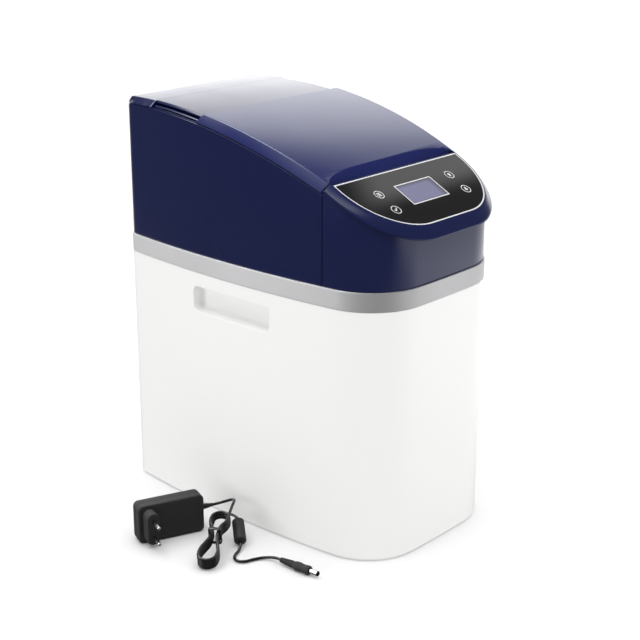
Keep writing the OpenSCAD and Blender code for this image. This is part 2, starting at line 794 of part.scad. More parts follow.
boss_y = tank_y + valve_r + 18;
module valve_body() {
    color("black") difference() {
        union() {
            at_tank(valve_z) cylinder(r = valve_r, h = valve_h, $fn = fine);
            at_tank(valve_z - flange_skirt)
                cylinder(r = neck_r + flange_w, h = flange_h + flange_skirt, $fn = fine);
            for (x = [tank_x - port_x, tank_x + port_x])
                along_y(x, port_y0 - 2, port_level)
                    cylinder(r = port_r + boss_wall, h = boss_y - port_y0 + 2, $fn = round_fn);
            along_y(tank_x, tank_y, drain_level)
                cylinder(r = drain_r + boss_wall, h = boss_y - tank_y, $fn = round_fn);
            translate([tank_x, tank_y, injector_level])
                rotate([0, -90, 0]) cylinder(r = injector_r, h = valve_r + injector_out, $fn = round_fn);
        }
        at_tank(valve_z - flange_skirt - 1)
            cylinder(r = neck_r + 2 * seal_r + 0.4, h = flange_skirt + 1, $fn = fine);
        at_tank(valve_z - 1)
            cylinder(r = riser_r + easy, h = riser_top - valve_z + 1 + easy, $fn = round_fn);
        at_tank(valve_z + valve_h - chamber_h) cylinder(r = chamber_r, h = chamber_h + 1, $fn = fine);
        for (x = [tank_x - port_x, tank_x + port_x])
            along_y(x, port_y0, port_level) cylinder(r = port_r + slip, h = tank_r, $fn = round_fn);
        along_y(tank_x, tank_y + valve_r - 2, drain_level)
            cylinder(r = drain_r + slip, h = tank_r, $fn = round_fn);
    }
}
cover_plate_t = 6;
top_z = valve_z + valve_h;
screw_ring = valve_r - 4.5;
module valve_cover() {
    color("dimgray") at_tank(top_z) difference() {
        cylinder(r = valve_r + 3, h = cover_plate_t, $fn = fine);
        translate([0, 0, -1]) cylinder(r = shaft_r + run_gap, h = cover_plate_t + 2, $fn = fine);
    }
}
module valve_screws() {
    head_r = 3;
    head_h = 2.6;
    hex_r = 1.7;
    color("silver") at_tank(top_z + cover_plate_t)
        for (i = [0:5])
            rotate([0, 0, 60 * i + 30])
                translate([screw_ring, 0, 0]) difference() {
                    cylinder(r = head_r, h = head_h, $fn = round_fn);
                    translate([0, 0, 1.2]) cylinder(r = hex_r, h = head_h, $fn = 6);
                }
}
gear_lift = 3.4;
gear_z = top_z + cover_plate_t + gear_lift;
module rotor_disc() {
    color("ivory") at_tank(top_z - chamber_h + easy) {
        cylinder(r = chamber_r - 0.4, h = disc_h, $fn = fine);
        cylinder(r = shaft_r, h = gear_z + gear_t + 2 - top_z + chamber_h, $fn = fine);
    }
}
// Tooth profile: straight flanks, narrower at the tip, with working clearance
function gear_outline(teeth, m, turn) = let (rp = teeth * m / 2, step = 360 / teeth)
    [for (i = [0:teeth - 1]) each
        [for (k = [[-0.36, -1.2], [-0.13, 0.85], [0.13, 0.85], [0.36, -1.2]])
            let (a = turn + (i + k.x) * step, r = rp + k.y * m) r * [cos(a), sin(a)]]];
gear_r = gear_teeth * gear_module / 2;
pinion_r = pinion_teeth * gear_module / 2;
mesh_gap = 0.2;
pinion_x = -(gear_r + pinion_r + mesh_gap);
pinion_turn = pinion_teeth % 2 == 0 ? 180 / pinion_teeth : 0;
module drive_gear() {
    color("white") at_tank(gear_z) difference() {
        linear_extrude(gear_t) polygon(gear_outline(gear_teeth, gear_module, 180));
        translate([0, 0, -1]) cylinder(r = shaft_r, h = gear_t + 2, $fn = fine);
        for (i = [0:4])
            rotate([0, 0, 72 * i])
                translate([gear_r * 0.58, 0, -1]) cylinder(r = gear_r * 0.16, h = gear_t + 2, $fn = round_fn);
    }
}
motor_shaft_r = 2.5;
stand_t = 3;
stand_z = gear_z + gear_t + 4;
module pinion() {
    color("white") at_tank(gear_z) translate([pinion_x, 0, 0]) {
        linear_extrude(gear_t) polygon(gear_outline(pinion_teeth, gear_module, pinion_turn));
        cylinder(r = motor_shaft_r, h = stand_z - gear_z + stand_t + 12, $fn = round_fn);
    }
}
module valve_motor() {
    color("silver") at_tank(stand_z + stand_t) translate([pinion_x, 0, 0]) difference() {
        cylinder(r = motor_r, h = motor_h, $fn = fine);
        translate([0, 0, -1]) cylinder(r = motor_shaft_r + run_gap, h = 14, $fn = round_fn);
    }
}
stand_post_r = 2.5;
stand_reach = gear_r + gear_module + stand_post_r + 1;
module motor_stand() {
    color("dimgray") at_tank(0) {
        difference() {
            translate([pinion_x - motor_r, -stand_reach, stand_z])
                cube([motor_r - pinion_x + stand_reach + stand_post_r, 2 * stand_reach, stand_t]);
            translate([pinion_x, 0, stand_z - 1])
                cylinder(r = motor_shaft_r + 1, h = stand_t + 2, $fn = round_fn);
            translate([0, 0, stand_z - 1]) cylinder(r = shaft_r + 1, h = stand_t + 2, $fn = round_fn);
        }
        for (a = [0, 120, 240])
            rotate([0, 0, a])
                translate([stand_reach, 0, top_z + cover_plate_t])
                    cylinder(r = stand_post_r, h = stand_z - top_z - cover_plate_t + 1, $fn = round_fn);
    }
}
nut_h = 5;
thread_l = 16;
module port(x) {
    along_y(x, port_y0, port_level) difference() {
        union() {
            cylinder(r = port_r, h = port_y1 - port_y0, $fn = fine);
            translate([0, 0, port_y1 - port_y0 - thread_l - nut_h])
                cylinder(r = port_r + 1.6, h = nut_h, $fn = fine);
        }
        translate([0, 0, 4]) cylinder(r = port_bore_r, h = port_y1, $fn = fine);
    }
}
module inlet_port() { color("gray") port(tank_x + port_x); }
module outlet_port() { color("gray") port(tank_x - port_x); }
cage_y = body_d / 2 - 4;
cage_l = 4;
turbine_l = 12;
axle_r = 1;
module spider() {
    difference() {
        cylinder(r = port_bore_r - 0.05, h = cage_l, $fn = round_fn);
        translate([0, 0, -1]) cylinder(r = port_bore_r - 1.5, h = cage_l + 2, $fn = round_fn);
    }
    for (i = [0:2])
        rotate([0, 0, 120 * i])
            translate([1.6, -0.6, 0.5]) cube([port_bore_r - 2.4, 1.2, cage_l - 1]);
}
module turbine_cage() {
    hub_r = 2.2;
    head_r = axle_r + 0.8;
    head_z = cage_l + turbine_l + 0.8;
    color("white") along_y(tank_x - port_x, cage_y, port_level) {
        spider();
        rotate_extrude($fn = round_fn)
            polygon([[0, 0], [hub_r, 0], [hub_r, cage_l], [axle_r, cage_l], [axle_r, head_z],
                [head_r, head_z], [head_r, head_z + 1.2], [0, head_z + 1.2]]);
    }
}
module flow_turbine() {
    blade_t = 0.9;
    color("orange") along_y(tank_x - port_x, cage_y + cage_l + 0.4, port_level) difference() {
        union() {
            cylinder(r = 2.6, h = turbine_l, $fn = round_fn);
            for (i = [0:4])
                rotate([0, 0, 72 * i])
                    translate([4.4, 0, turbine_l / 2])
                        rotate([35, 0, 0]) cube([port_bore_r - 3.2, blade_t, turbine_l - 3], center = true);
        }
        translate([0, 0, -1]) cylinder(r = axle_r + run_gap, h = turbine_l + 2, $fn = round_fn);
    }
}
module drain_spigot() {
    rim_t = 3;
    wall = 2;
    spigot_y0 = tank_y + valve_r - 2;
    spigot_y1 = port_y1 - 4;
    color("gray") along_y(tank_x, spigot_y0, drain_level) difference() {
        union() {
            cylinder(r = drain_r, h = spigot_y1 - spigot_y0, $fn = fine);
            translate([0, 0, spigot_y1 - spigot_y0 - thread_l - rim_t])
                cylinder(r = drain_r + 1.5, h = rim_t, $fn = fine);
        }
        translate([0, 0, 4]) cylinder(r = drain_r - wall, h = body_d, $fn = fine);
    }
}
injector_r = 9;
injector_level = port_level + 4;
injector_l = 12;
injector_out = 4;
injector_tip = 4;
module injector() {
    color("black") translate([tank_x - valve_r - injector_out, tank_y, injector_level])
        rotate([0, -90, 0]) {
            cylinder(r = injector_r, h = injector_l - injector_tip, $fn = round_fn);
            translate([0, 0, injector_l - injector_tip])
                cylinder(r = pipe_r + 2.5, h = injector_tip, $fn = round_fn);
        }
}

// Brine well with its float valve
module at_well(z = 0) {
    translate([well_x, well_y, z]) children();
}
module brine_well() {
    slot_n = 8;
    slot_w = 2;
    slot_l = 26;
    slot_lift = 8;
    color("white") at_well(base_z) difference() {
        cylinder(r = well_r, h = well_h, $fn = fine);
        translate([0, 0, -1]) cylinder(r = well_r - well_wall, h = well_h + 2, $fn = fine);
        for (i = [0:slot_n - 1])
            rotate([0, 0, 360 * i / slot_n])
                translate([well_r / 2, -slot_w / 2, slot_lift]) cube([well_r, slot_w, slot_l]);
    }
}
cap_t = 5;
module well_cap() {
    rim = 2;
    spigot_l = 4;
    color("white") at_well(base_z + well_h) difference() {
        union() {
            cylinder(r = well_r + rim, h = cap_t, $fn = fine);
            translate([0, 0, -spigot_l])
                cylinder(r = well_r - well_wall - snug, h = spigot_l + 1, $fn = fine);
        }
        translate([0, 0, -spigot_l - 2])
            cylinder(r = pipe_r + snug, h = cap_t + spigot_l + 4, $fn = round_fn);
    }
}
foot_h = 30;
module brine_valve() {
    color("dimgray") at_well(base_z) difference() {
        union() {
            cylinder(r = well_r - well_wall - 0.2, h = 4, $fn = fine);
            cylinder(r = 12, h = foot_h, $fn = fine);
        }
        for (i = [0:3])
            rotate([0, 0, 90 * i + 45])
                translate([8, -2, 5]) cube([10, 4, 14]);
    }
}
pipe_z0 = base_z + foot_h;
pipe_top = base_z + well_h + cap_t + 8;
float_z0 = pipe_z0 + 0.3;
stop_z = float_z0 + float_h + float_travel + 0.4;
module brine_pipe() {
    color("white") at_well(pipe_z0) {
        cylinder(r = pipe_r, h = pipe_top - pipe_z0, $fn = round_fn);
        translate([0, 0, stop_z - pipe_z0]) cylinder(r = pipe_r + 3, h = 4, $fn = round_fn);
    }
}
module brine_float() {
    color("ivory") at_well(float_z0) difference() {
        cylinder(r = float_r, h = float_h, $fn = fine);
        translate([0, 0, -1]) cylinder(r = pipe_r + run_gap, h = float_h + 2, $fn = round_fn);
        translate([0, 0, float_h / 2])
            rotate_extrude($fn = fine) translate([float_r + 1, 0]) circle(r = 3, $fn = round_fn);
    }
}
tube_end_x = tank_x - valve_r - injector_out - injector_l;
module brine_tube() {
    bend = atan2(tank_y - well_y, tube_end_x - well_x);
    end_gap = 0.5;
    reach = norm([tank_y - well_y, tube_end_x - well_x]) - tube_bend - end_gap;
    lap = 1;
    run_r = pipe_r - 0.35;
    color("white") translate([well_x, well_y, 0]) rotate([0, 0, bend]) {
        translate([0, 0, pipe_top])
            cylinder(r = run_r, h = injector_level - tube_bend - pipe_top + lap, $fn = round_fn);
        translate([tube_bend, 0, injector_level - tube_bend])
            rotate([90, 0, 180])
                rotate_extrude(angle = 90, $fn = fine)
                    translate([tube_bend, 0]) circle(r = pipe_r - 0.2, $fn = round_fn);
        translate([tube_bend - lap, 0, injector_level])
            rotate([0, 90, 0]) cylinder(r = run_r, h = reach + lap, $fn = round_fn);
    }
}
elbow_out = 17;
neck_l = 12;
stub_l = 16;
module overflow_elbow() {
    color("gray") {
        along_y(overflow_x, body_d / 2 - body_wall - 4, overflow_z) cylinder(r = 12, h = 4, $fn = round_fn);
        along_y(overflow_x, body_d / 2 - body_wall, overflow_z)
            cylinder(r = overflow_hole_r, h = body_wall + elbow_out, $fn = round_fn);
        translate([overflow_x, body_d / 2 + elbow_out, overflow_z])
            sphere(r = overflow_hole_r, $fn = round_fn);
        translate([overflow_x, body_d / 2 + elbow_out, overflow_z - neck_l])
            cylinder(r = overflow_hole_r, h = neck_l, $fn = round_fn);
        translate([overflow_x, body_d / 2 + elbow_out, overflow_z - neck_l - stub_l])
            cylinder(r = overflow_r, h = stub_l + 1, $fn = round_fn);
    }
}
module dc_socket() {
    color("black") along_y(socket_x, hood_d / 2 - hood_wall - socket_l, socket_z) {
        difference() {
            union() {
                cylinder(r = socket_r, h = socket_l + hood_wall, $fn = round_fn);
                cylinder(r = socket_r + 2.5, h = socket_l, $fn = round_fn);
            }
            translate([0, 0, 4]) cylinder(r = 2.9, h = socket_l + hood_wall, $fn = round_fn);
        }
        cylinder(r = 1, h = socket_l, $fn = round_fn);
    }
}

// Plug-in supply: adapter on its long narrow side, pins towards the front
adapter_at = [-234, 43.5, 0];
adapter_turn = -22.3;
module at_adapter() {
    translate(adapter_at) rotate([0, 0, adapter_turn]) children();
}
split_t = 0.62 * adapter_t;
module adapter_shell(y0, y1) {
    translate([adapter_l / 2, y1, adapter_w / 2])
        rotate([90, 0, 0])
            linear_extrude(y1 - y0) polygon(round_rect(adapter_l, adapter_w, adapter_r));
}
module adapter_face() {
    color("black") at_adapter() adapter_shell(0, adapter_t - split_t);
}
module adapter_back() {
    lip = 1.6;
    bevel = 4;
    color("black") at_adapter() {
        adapter_shell(adapter_t - split_t, adapter_t - bevel);
        hull() {
            adapter_shell(adapter_t - bevel - 0.5, adapter_t - bevel);
            translate([adapter_l / 2, adapter_t, adapter_w / 2])
                rotate([90, 0, 0])
                    linear_extrude(0.2)
                        polygon(round_rect(adapter_l - 2 * lip - bevel,
                            adapter_w - 2 * lip - bevel, adapter_r));
        }
    }
}
plug_x = 12;
plug_w = 14;
plug_len = 37;
plug_out = 15;
pin_pitch = 19;
pin_r = 2;
pin_l = 18.5;
module plug_block() {
    color("black") at_adapter() translate([plug_x, 0, adapter_w / 2])
        rotate([90, 0, 0])
            linear_extrude(plug_out) polygon(round_rect(plug_w, plug_len, plug_w / 2 - 0.5));
}
module contact_pins() {
    color("silver") at_adapter()
        for (s = [-1, 1])
            translate([plug_x, -plug_out, adapter_w / 2 + s * pin_pitch / 2])
                rotate([90, 0, 0]) {
                    cylinder(r = pin_r, h = pin_l - pin_r, $fn = round_fn);
                    translate([0, 0, pin_l - pin_r]) sphere(r = pin_r, $fn = round_fn);
                }
}
relief_l = 14;
relief_r = 3.6;
relief_ribs = 4;
relief_y = adapter_t / 2;
relief_z = 0.55 * adapter_w;
module strain_relief() {
    step = relief_l / relief_ribs;
    color("black") at_adapter() translate([adapter_l, relief_y, relief_z])
        rotate([0, 90, 0]) {
            cylinder(r1 = relief_r - 0.4, r2 = cord_d / 2 + 0.5, h = relief_l, $fn = round_fn);
            for (i = [0:relief_ribs - 1])
                translate([0, 0, i * step])
                    cylinder(r = relief_r - 0.35 * i, h = step / 2, $fn = round_fn);
        }
}

// Lead: a tube swept along points, with six or eight sides
function unit(v) = v / norm(v);
function heading(p, i) = unit(p[min(i + 1, len(p) - 1)] - p[max(i - 1, 0)]);
module lead_tube(p, sides, up = [0, 0, 1]) {
    n = len(p);
    rings = [for (i = [0:n - 1]) let (t = heading(p, i), s = unit(cross(t, up)), u = cross(s, t))
        for (k = [0:sides - 1]) let (a = 360 * k / sides) p[i] + cord_d / 2 * (cos(a) * s + sin(a) * u)];
    skin = [for (i = [0:n - 2]) for (k = [0:sides - 1])
        let (a = i * sides + k, b = i * sides + (k + 1) % sides) each
        [[a, b, b + sides], [a, b + sides, a + sides]]];
    polyhedron(rings, concat([[for (k = [sides - 1:-1:0]) k]], skin,
        [[for (k = [0:sides - 1]) (n - 1) * sides + k]]), convexity = 8);
}
// Hank: runs and folds in its own frame, X along it, drawn in at the waist, one layer down per loop
hank_at = [-226, -52.4, 2.2];
hank_turn = 32;
hank_tilt = 12;
hank_u0 = hank_fold_r + cord_d / 2;
hank_u1 = hank_l - hank_u0;
run_steps = 7;
fold_steps = 5;
waist_at = 0.58;
function drawn(f) = let (q = f < waist_at ? f / waist_at : (1 - f) / (1 - waist_at))
    hank_fold_r - (hank_fold_r - hank_waist) * (1 - cos(180 * min(max(q * 1.5 - 0.25, 0), 1))) / 2;
function run_point(f, side, layer) = [hank_u0 + (hank_u1 - hank_u0) * f, side * drawn(f), layer * hank_pitch];
function hank_down(k, m) = [for (i = [0:m]) let (f = 1 - i / m) run_point(f, -1, hank_loops - k - 1 + f)];
function hank_up(k, m) = [for (i = [0:m]) run_point(i / m, 1, hank_loops - k - 1)];
function fold(u, from, layer, m) = [for (i = [1:m - 1]) let (a = from - 180 * i / m)
    [u + hank_fold_r * cos(a), hank_fold_r * sin(a), layer * hank_pitch]];
function hank_path(rs, fs) = concat(
    [[hank_u1 + cord_d, -hank_fold_r, hank_loops * hank_pitch]],
    [for (k = [0:hank_loops - 1]) each concat(
        hank_down(k, rs), fold(hank_u0, 270, hank_loops - k - 1, fs), hank_up(k, rs),
        k < hank_loops - 1 ? fold(hank_u1, 90, hank_loops - k - 1, fs) : [])],
    [[hank_u1 + cord_d, hank_fold_r, 0]]);
function hank_world(p) = let (c = cos(hank_tilt), s = sin(hank_tilt),
    x = p.x * c - p.z * s, z = p.x * s + p.z * c)
    hank_at + [x * cos(hank_turn) - p.y * sin(hank_turn), x * sin(hank_turn) + p.y * cos(hank_turn), z];
hank_pts = hank_path(run_steps, fold_steps);
// Least gap of the hank to itself, measured on closely set points of its centre line
close_pts = hank_path(28, 12);
skip_pts = 14;
hank_gap = min([for (i = [0:len(close_pts) - 1]) for (j = [i + skip_pts:1:len(close_pts) - 1])
    norm(close_pts[i] - close_pts[j])]) - cord_d;
echo(hank_least_gap = hank_gap);
hank_in = hank_world(hank_pts[0]);
hank_out = hank_world(hank_pts[len(hank_pts) - 1]);
hank_dir = [cos(hank_turn) * cos(hank_tilt), sin(hank_turn) * cos(hank_tilt), sin(hank_tilt)];
relief_dir = [cos(adapter_turn), sin(adapter_turn), 0];
relief_end = adapter_at + [0, 0, relief_z] + relief_dir * (adapter_l + relief_l)
    + relief_y * [-sin(adapter_turn), cos(adapter_turn), 0];
ferrite_low = [-164, -43, 7];
ferrite_dir = unit([21, 25, 13]);
ferrite_top = ferrite_low + ferrite_dir * ferrite_l;
plug_at = [-161.5, -101, plug_d / 2];
plug_dir = unit([4, -55, 0]);
lead_pts = concat([relief_end, relief_end + relief_dir * cord_d],
    [[-137.5, 13.5, 26], [-134, 7, 29], [-133.5, 0, 32.5], [-136.5, -6.5, 35.5], [-141, -11, 36.8],
    [-149.5, -16.2, 35.3]], [hank_in + hank_dir * cord_d, hank_in]);
link_pts = concat([hank_out, hank_out + hank_dir * cord_d],
    [[-157, 0.2, 20], [-149, -2, 21], [-144.3, -8, 21], [-143.3, -15, 20.2]],
    [ferrite_top + ferrite_dir * cord_d, ferrite_top]);
tail_pts = concat([ferrite_low, ferrite_low - ferrite_dir * cord_d],
    [[-174, -50, 2.2], [-182, -53, 1.8], [-188, -58, 1.8], [-190, -65, 1.8], [-186, -71, 1.8],
    [-179, -74, 1.8], [-172, -77, 1.8], [-166, -82, 2.4], [-162.5, -89, 3.6]],
    [plug_at - plug_dir * cord_d, plug_at]);
module cord_lead() { color("black") lead_tube(lead_pts, 8); }
module cord_link() { color("black") lead_tube(link_pts, 8); }
module cord_tail() { color("black") lead_tube(tail_pts, 8); }
module in_hank() {
    translate(hank_at) rotate([0, 0, hank_turn]) rotate([0, -hank_tilt, 0]) children();
}
module cord_hank() {
    color("black") in_hank() lead_tube(hank_pts, 6);
}
tie_w = 4;
tie_t = 1.2;
tie_gap = 0.35;
module hank_tie() {
    u = hank_u0 + (hank_u1 - hank_u0) * waist_at;
    half = hank_waist + cord_d / 2 + tie_gap;
    low = -cord_d / 2 - tie_gap;
    high = (hank_loops - 0.2) * hank_pitch + cord_d / 2 + tie_gap;
    color("black") in_hank() translate([u - tie_w / 2, 0, 0]) difference() {
        translate([0, -half - tie_t, low - tie_t]) cube([tie_w, 2 * (half + tie_t), high - low + 2 * tie_t]);
        translate([-1, -half, low]) cube([tie_w + 2, 2 * half, high - low]);
    }
}
module along(p, d) {
    translate(p) rotate([0, acos(d.z), atan2(d.y, d.x)]) children();
}
ferrite_edge = 1.5;
module ferrite() {
    r = ferrite_d / 2;
    color("black") along(ferrite_low, ferrite_dir)
        rotate_extrude($fn = round_fn)
            polygon([[0, 0], [r - ferrite_edge, 0], [r, ferrite_edge], [r, ferrite_l - ferrite_edge],
                [r - ferrite_edge, ferrite_l], [0, ferrite_l]]);
}
plug_relief_l = 18;
plug_body_l = 22;
plug_ribs = 5;
module dc_plug() {
    r = plug_d / 2;
    step = plug_relief_l / plug_ribs;
    color("black") along(plug_at, plug_dir) {
        cylinder(r1 = cord_d / 2 + 0.6, r2 = r - 1.6, h = plug_relief_l, $fn = round_fn);
        for (i = [0:plug_ribs - 1])
            translate([0, 0, i * step])
                cylinder(r = cord_d / 2 + 1.2 + 0.3 * i, h = step / 2, $fn = round_fn);
        translate([0, 0, plug_relief_l]) cylinder(r1 = r - 1.6, r2 = r, h = 6, $fn = round_fn);
        translate([0, 0, plug_relief_l + 6]) cylinder(r = r, h = plug_body_l - 6, $fn = round_fn);
    }
}
barrel_r = 2.75;
barrel_l = 11;
module dc_barrel() {
    color("silver") along(plug_at + plug_dir * (plug_relief_l + plug_body_l), plug_dir) difference() {
        cylinder(r = barrel_r, h = barrel_l, $fn = round_fn);
        translate([0, 0, 1.5]) cylinder(r = 1.25, h = barrel_l, $fn = round_fn);
    }
}

cabinet_body();
belt_trim();
hood_shell();
rear_cover();
salt_lid();
control_housing();
control_panel();
lcd_glass();
lcd_frame();
control_board();
board_screws();
key_left_upper();
key_left_lower();
key_right_upper();
key_right_lower();
resin_tank();
tank_base();
resin_bed();
riser_tube();
lower_strainer();
upper_strainer();
tank_seal();
valve_body();
valve_cover();
valve_screws();
rotor_disc();
drive_gear();
pinion();
valve_motor();
motor_stand();
inlet_port();
outlet_port();
turbine_cage();
flow_turbine();
drain_spigot();
injector();
brine_well();
well_cap();
brine_valve();
brine_pipe();
brine_float();
brine_tube();
overflow_elbow();
dc_socket();
adapter_back();
adapter_face();
plug_block();
contact_pins();
strain_relief();
cord_lead();
cord_hank();
hank_tie();
cord_link();
ferrite();
cord_tail();
dc_plug();
dc_barrel();
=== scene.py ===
"""Looks of a cabinet water softener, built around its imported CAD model."""

import math

import bmesh
import bpy
from bpy.props import FloatProperty, FloatVectorProperty, IntProperty, PointerProperty
from mathutils import Matrix, Vector


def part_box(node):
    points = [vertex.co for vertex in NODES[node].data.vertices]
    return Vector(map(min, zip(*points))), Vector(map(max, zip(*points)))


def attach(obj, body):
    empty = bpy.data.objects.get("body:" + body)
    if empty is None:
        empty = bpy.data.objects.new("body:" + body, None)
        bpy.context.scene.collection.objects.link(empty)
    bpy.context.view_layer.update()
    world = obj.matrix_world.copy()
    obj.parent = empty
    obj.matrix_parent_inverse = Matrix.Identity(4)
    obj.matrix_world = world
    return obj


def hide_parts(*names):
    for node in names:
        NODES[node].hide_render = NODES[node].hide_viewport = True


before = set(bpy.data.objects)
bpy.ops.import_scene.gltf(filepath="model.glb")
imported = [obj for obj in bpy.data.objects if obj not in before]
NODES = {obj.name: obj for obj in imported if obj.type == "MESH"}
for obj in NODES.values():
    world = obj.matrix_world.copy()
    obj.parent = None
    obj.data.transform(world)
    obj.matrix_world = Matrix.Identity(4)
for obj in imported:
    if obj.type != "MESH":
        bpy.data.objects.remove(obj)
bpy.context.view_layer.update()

bl_info = {
    "name": "Water softener",
    "version": (1, 0, 0),
    "blender": (4, 5, 0),
    "location": "View3D > Sidebar > Softener",
    "description": "Builds a cabinet water softener with its sliding lid, panel and supply lead",
    "category": "Object",
}

CABINET = "cabinet"
MM = 0.001
# Tolerances: tests on a place, narrow tests, merged points, mirrored or degenerate points, cuts.
NEAR, SPOT, WELD, TINY, HAIR = 1e-4, 1e-5, 2e-6, 1e-6, 1e-7
# Edges laid this far beside a rounding keep the face next to it flat.
BESIDE = 1 * MM
RELIEF_LENGTH = 14 * MM
PLUG_LENGTH = 40 * MM
WAIST_AT = 0.58
SHINY = ("belt_band", "adapter_front_half", "adapter_rear_half", "plug_foot", "plug_pins", "supply_lead", "lead_relief",
         "ferrite_sleeve", "lead_plug", "plug_barrel", "hank_band")


def length(name, description, default):
    """A size property in metres, given in millimetres."""
    return FloatProperty(name=name, description=description, default=default * MM, unit="LENGTH", precision=5)


def angle(name, description, default):
    """An angle property, given in degrees."""
    return FloatProperty(name=name, description=description, default=math.radians(default), unit="ROTATION",
                         precision=4)


def colour(name, description, default):
    """A linear colour property."""
    return FloatVectorProperty(name=name, description=description, default=default, subtype="COLOR", size=3,
                               min=0, max=1)


class CabinetSizes(bpy.types.PropertyGroup):
    """Sizes of the white cabinet, the belt and the hood's walls."""

    width: length("Width", "Cabinet at its widest", 236)
    depth: length("Depth", "Cabinet without lip and ports", 382)
    body_height: length("Body height", "White cabinet up to the belt", 282)
    wall: length("Wall", "Thickness of the cabinet's wall", 3)
    floor: length("Floor", "Thickness of the cabinet's floor", 4)
    side_bow: length("Side bow", "Bulge of the long sides", 14)
    front_bow: length("Front bow", "Bulge of the front", 4)
    front_corner: length("Front corner", "Radius of the front corners", 66)
    rear_corner: length("Rear corner", "Radius of the rear corners", 15)
    foot_rim: length("Foot height", "Height of the set-in foot", 2.2)
    foot_in: length("Foot set-in", "How far the foot is set in", 3.5)
    foot_round: length("Foot rounding", "Rounding of the lower edge", 0.8)
    belt_height: length("Belt height", "Height of the silver belt", 21)
    belt_proud: length("Belt proud", "How far the belt stands proud", 0.38)
    hood_inset: length("Hood inset", "How far the hood is set in", 1)
    hood_wall: length("Hood wall", "Thickness of the hood's wall", 2.5)
    pocket_length: length("Pocket length", "Length of a handle pocket", 117)
    pocket_height: length("Pocket height", "Height of a handle pocket", 29)
    pocket_depth: length("Pocket depth", "Depth of a handle pocket", 16)
    pocket_y: length("Pocket place", "Pocket's middle behind the cabinet's middle", 13.5)
    pocket_drop: length("Pocket drop", "Pocket's middle below the cabinet's top", 30.5)


class LidSizes(bpy.types.PropertyGroup):
    """Sizes of the sliding lid, its rim and the rear cover."""

    rim_radius: length("Rim radius", "Radius of the hood's upper rim", 660.6)
    rim_drop: length("Rim drop", "Rim's centre below the hood's foot", 508)
    rim_in: length("Rim in", "Rim's centre in front of the rear wall", 40)
    rim_step: length("Rim step", "Depth of the rim's outer step", 1.4)
    seam_back: length("Seam", "Seam behind the hood's front", 74.4)
    band_height: length("Band height", "Height of the sloped band", 9)
    band_lean: length("Band lean", "How far the sloped band leans in", 8)
    thickness: length("Lid thickness", "Thickness of the lid's shell", 2.6)
    gap: length("Lid gap", "Clearance under the lid's edge", 0.4)
    rear_angle: angle("Rear end", "Angle of the lid's rear end", 7.7)
    travel: angle("Travel", "Travel of the lid along the rim", 6.4)
    scoop_width: length("Scoop width", "Width of the finger scoop", 204)
    scoop_length: length("Scoop length", "Length of the finger scoop", 16.3)
    edge_round: length("Edge rounding", "Rounding of the lid's edges", 0.7)
    shoulder_round: length("Shoulder rounding", "Rounding of the lid's long upper edges", 2.4)


class PanelSizes(bpy.types.PropertyGroup):
    """Sizes of the control panel and its lip."""

    slope: angle("Panel slope", "Slope of the control panel", 27.5)
    lip_slope: angle("Lip slope", "Slope of the lip's lower edge", 29.7)
    lip_height: length("Lip height", "Height of the lip at the seam", 7.5)
    lip_out: length("Lip reach", "How far the lip stands out", 8)
    width: length("Panel width", "Width of the panel", 203)
    depth: length("Panel depth", "Depth of the panel seen from above", 74.5)
    corner: length("Panel corner", "Corner radius seen from above", 68)
    set_back: length("Panel set-back", "Panel in front of the lid", 4.2)
    line: length("Line width", "Width of the light outline", 1.3)
    display_w: length("Display width", "Width of the display", 57)
    display_h: length("Display height", "Height of the display", 29)
    display_down: length("Display place", "Display below the panel's upper edge", 23.7)
    key_x: length("Key place", "Distance of a key from the middle", 59)
    key_down: length("Key drop", "Upper keys below the panel's upper edge", 28)
    key_pitch: length("Key pitch", "Upper to lower keys", 25.4)
    key_radius: length("Key radius", "Radius of a key", 6.2)


class SupplySizes(bpy.types.PropertyGroup):
    """Sizes of the plug-in supply and its lead."""

    adapter_l: length("Adapter length", "Length of the adapter", 76.7)
    adapter_w: length("Adapter height", "Height of the adapter as it stands", 45)
    adapter_t: length("Adapter thickness", "Thickness of the adapter", 21)
    cord: length("Lead diameter", "Diameter of the lead", 3.2)
    loops: IntProperty(name="Loops", description="Loops in the hank", default=4, min=3, max=4)
    hank_length: length("Hank length", "Length of the hank", 84)
    fold_radius: length("Fold radius", "Bend radius at the hank's folds", 9.8)
    waist: length("Waist", "Half distance of the runs at the tie", 4)
    layer: length("Layer", "Distance between the hank's layers", 3.75)
    ferrite_l: length("Ferrite length", "Length of the ferrite sleeve", 30)
    ferrite_d: length("Ferrite diameter", "Diameter of the ferrite sleeve", 13.6)
    plug_d: length("Plug diameter", "Diameter of the moulded plug", 10)


class Finishes(bpy.types.PropertyGroup):
    """Colours of the finishes."""

    white: colour("Cabinet white", "Moulded cabinet", (0.80, 0.80, 0.79))
    silver: colour("Belt silver", "Satin paint of the belt", (0.64, 0.64, 0.65))
    navy: colour("Hood blue", "Hood and housing", (0.0056, 0.0095, 0.056))
    # The lid's blue is lighter than the hood's: partly its own moulding, partly painted light for the stronger light on
    # its upward faces.
    lid: colour("Lid blue", "Sliding lid", (0.007, 0.012, 0.088))
    panel: colour("Panel black", "Gloss panel", (0.004, 0.004, 0.005))
    display: colour("Display", "Unlit display", (0.165, 0.165, 0.27))
    line: colour("Print", "Printed lines and signs", (0.72, 0.72, 0.74))
    adapter: colour("Adapter black", "Adapter and plug", (0.009, 0.009, 0.010))
    cord: colour("Lead black", "Sheath of the lead", (0.007, 0.007, 0.007))
    metal: colour("Contact metal", "Pins and barrel", (0.72, 0.71, 0.69))


def meeting(a, ra, b, rb):
    """Where two circles meet, on the left of the line from a to b."""
    d = (b - a).length
    e = (b - a) / d
    k = (ra * ra - rb * rb + d * d) / (2 * d)
    return a + k * e + math.sqrt(ra * ra - k * k) * Vector((-e.y, e.x))


def bearing(a, b):
    """Direction from a to b, from 0 to a full turn."""
    return math.atan2(b.y - a.y, b.x - a.x) % math.tau


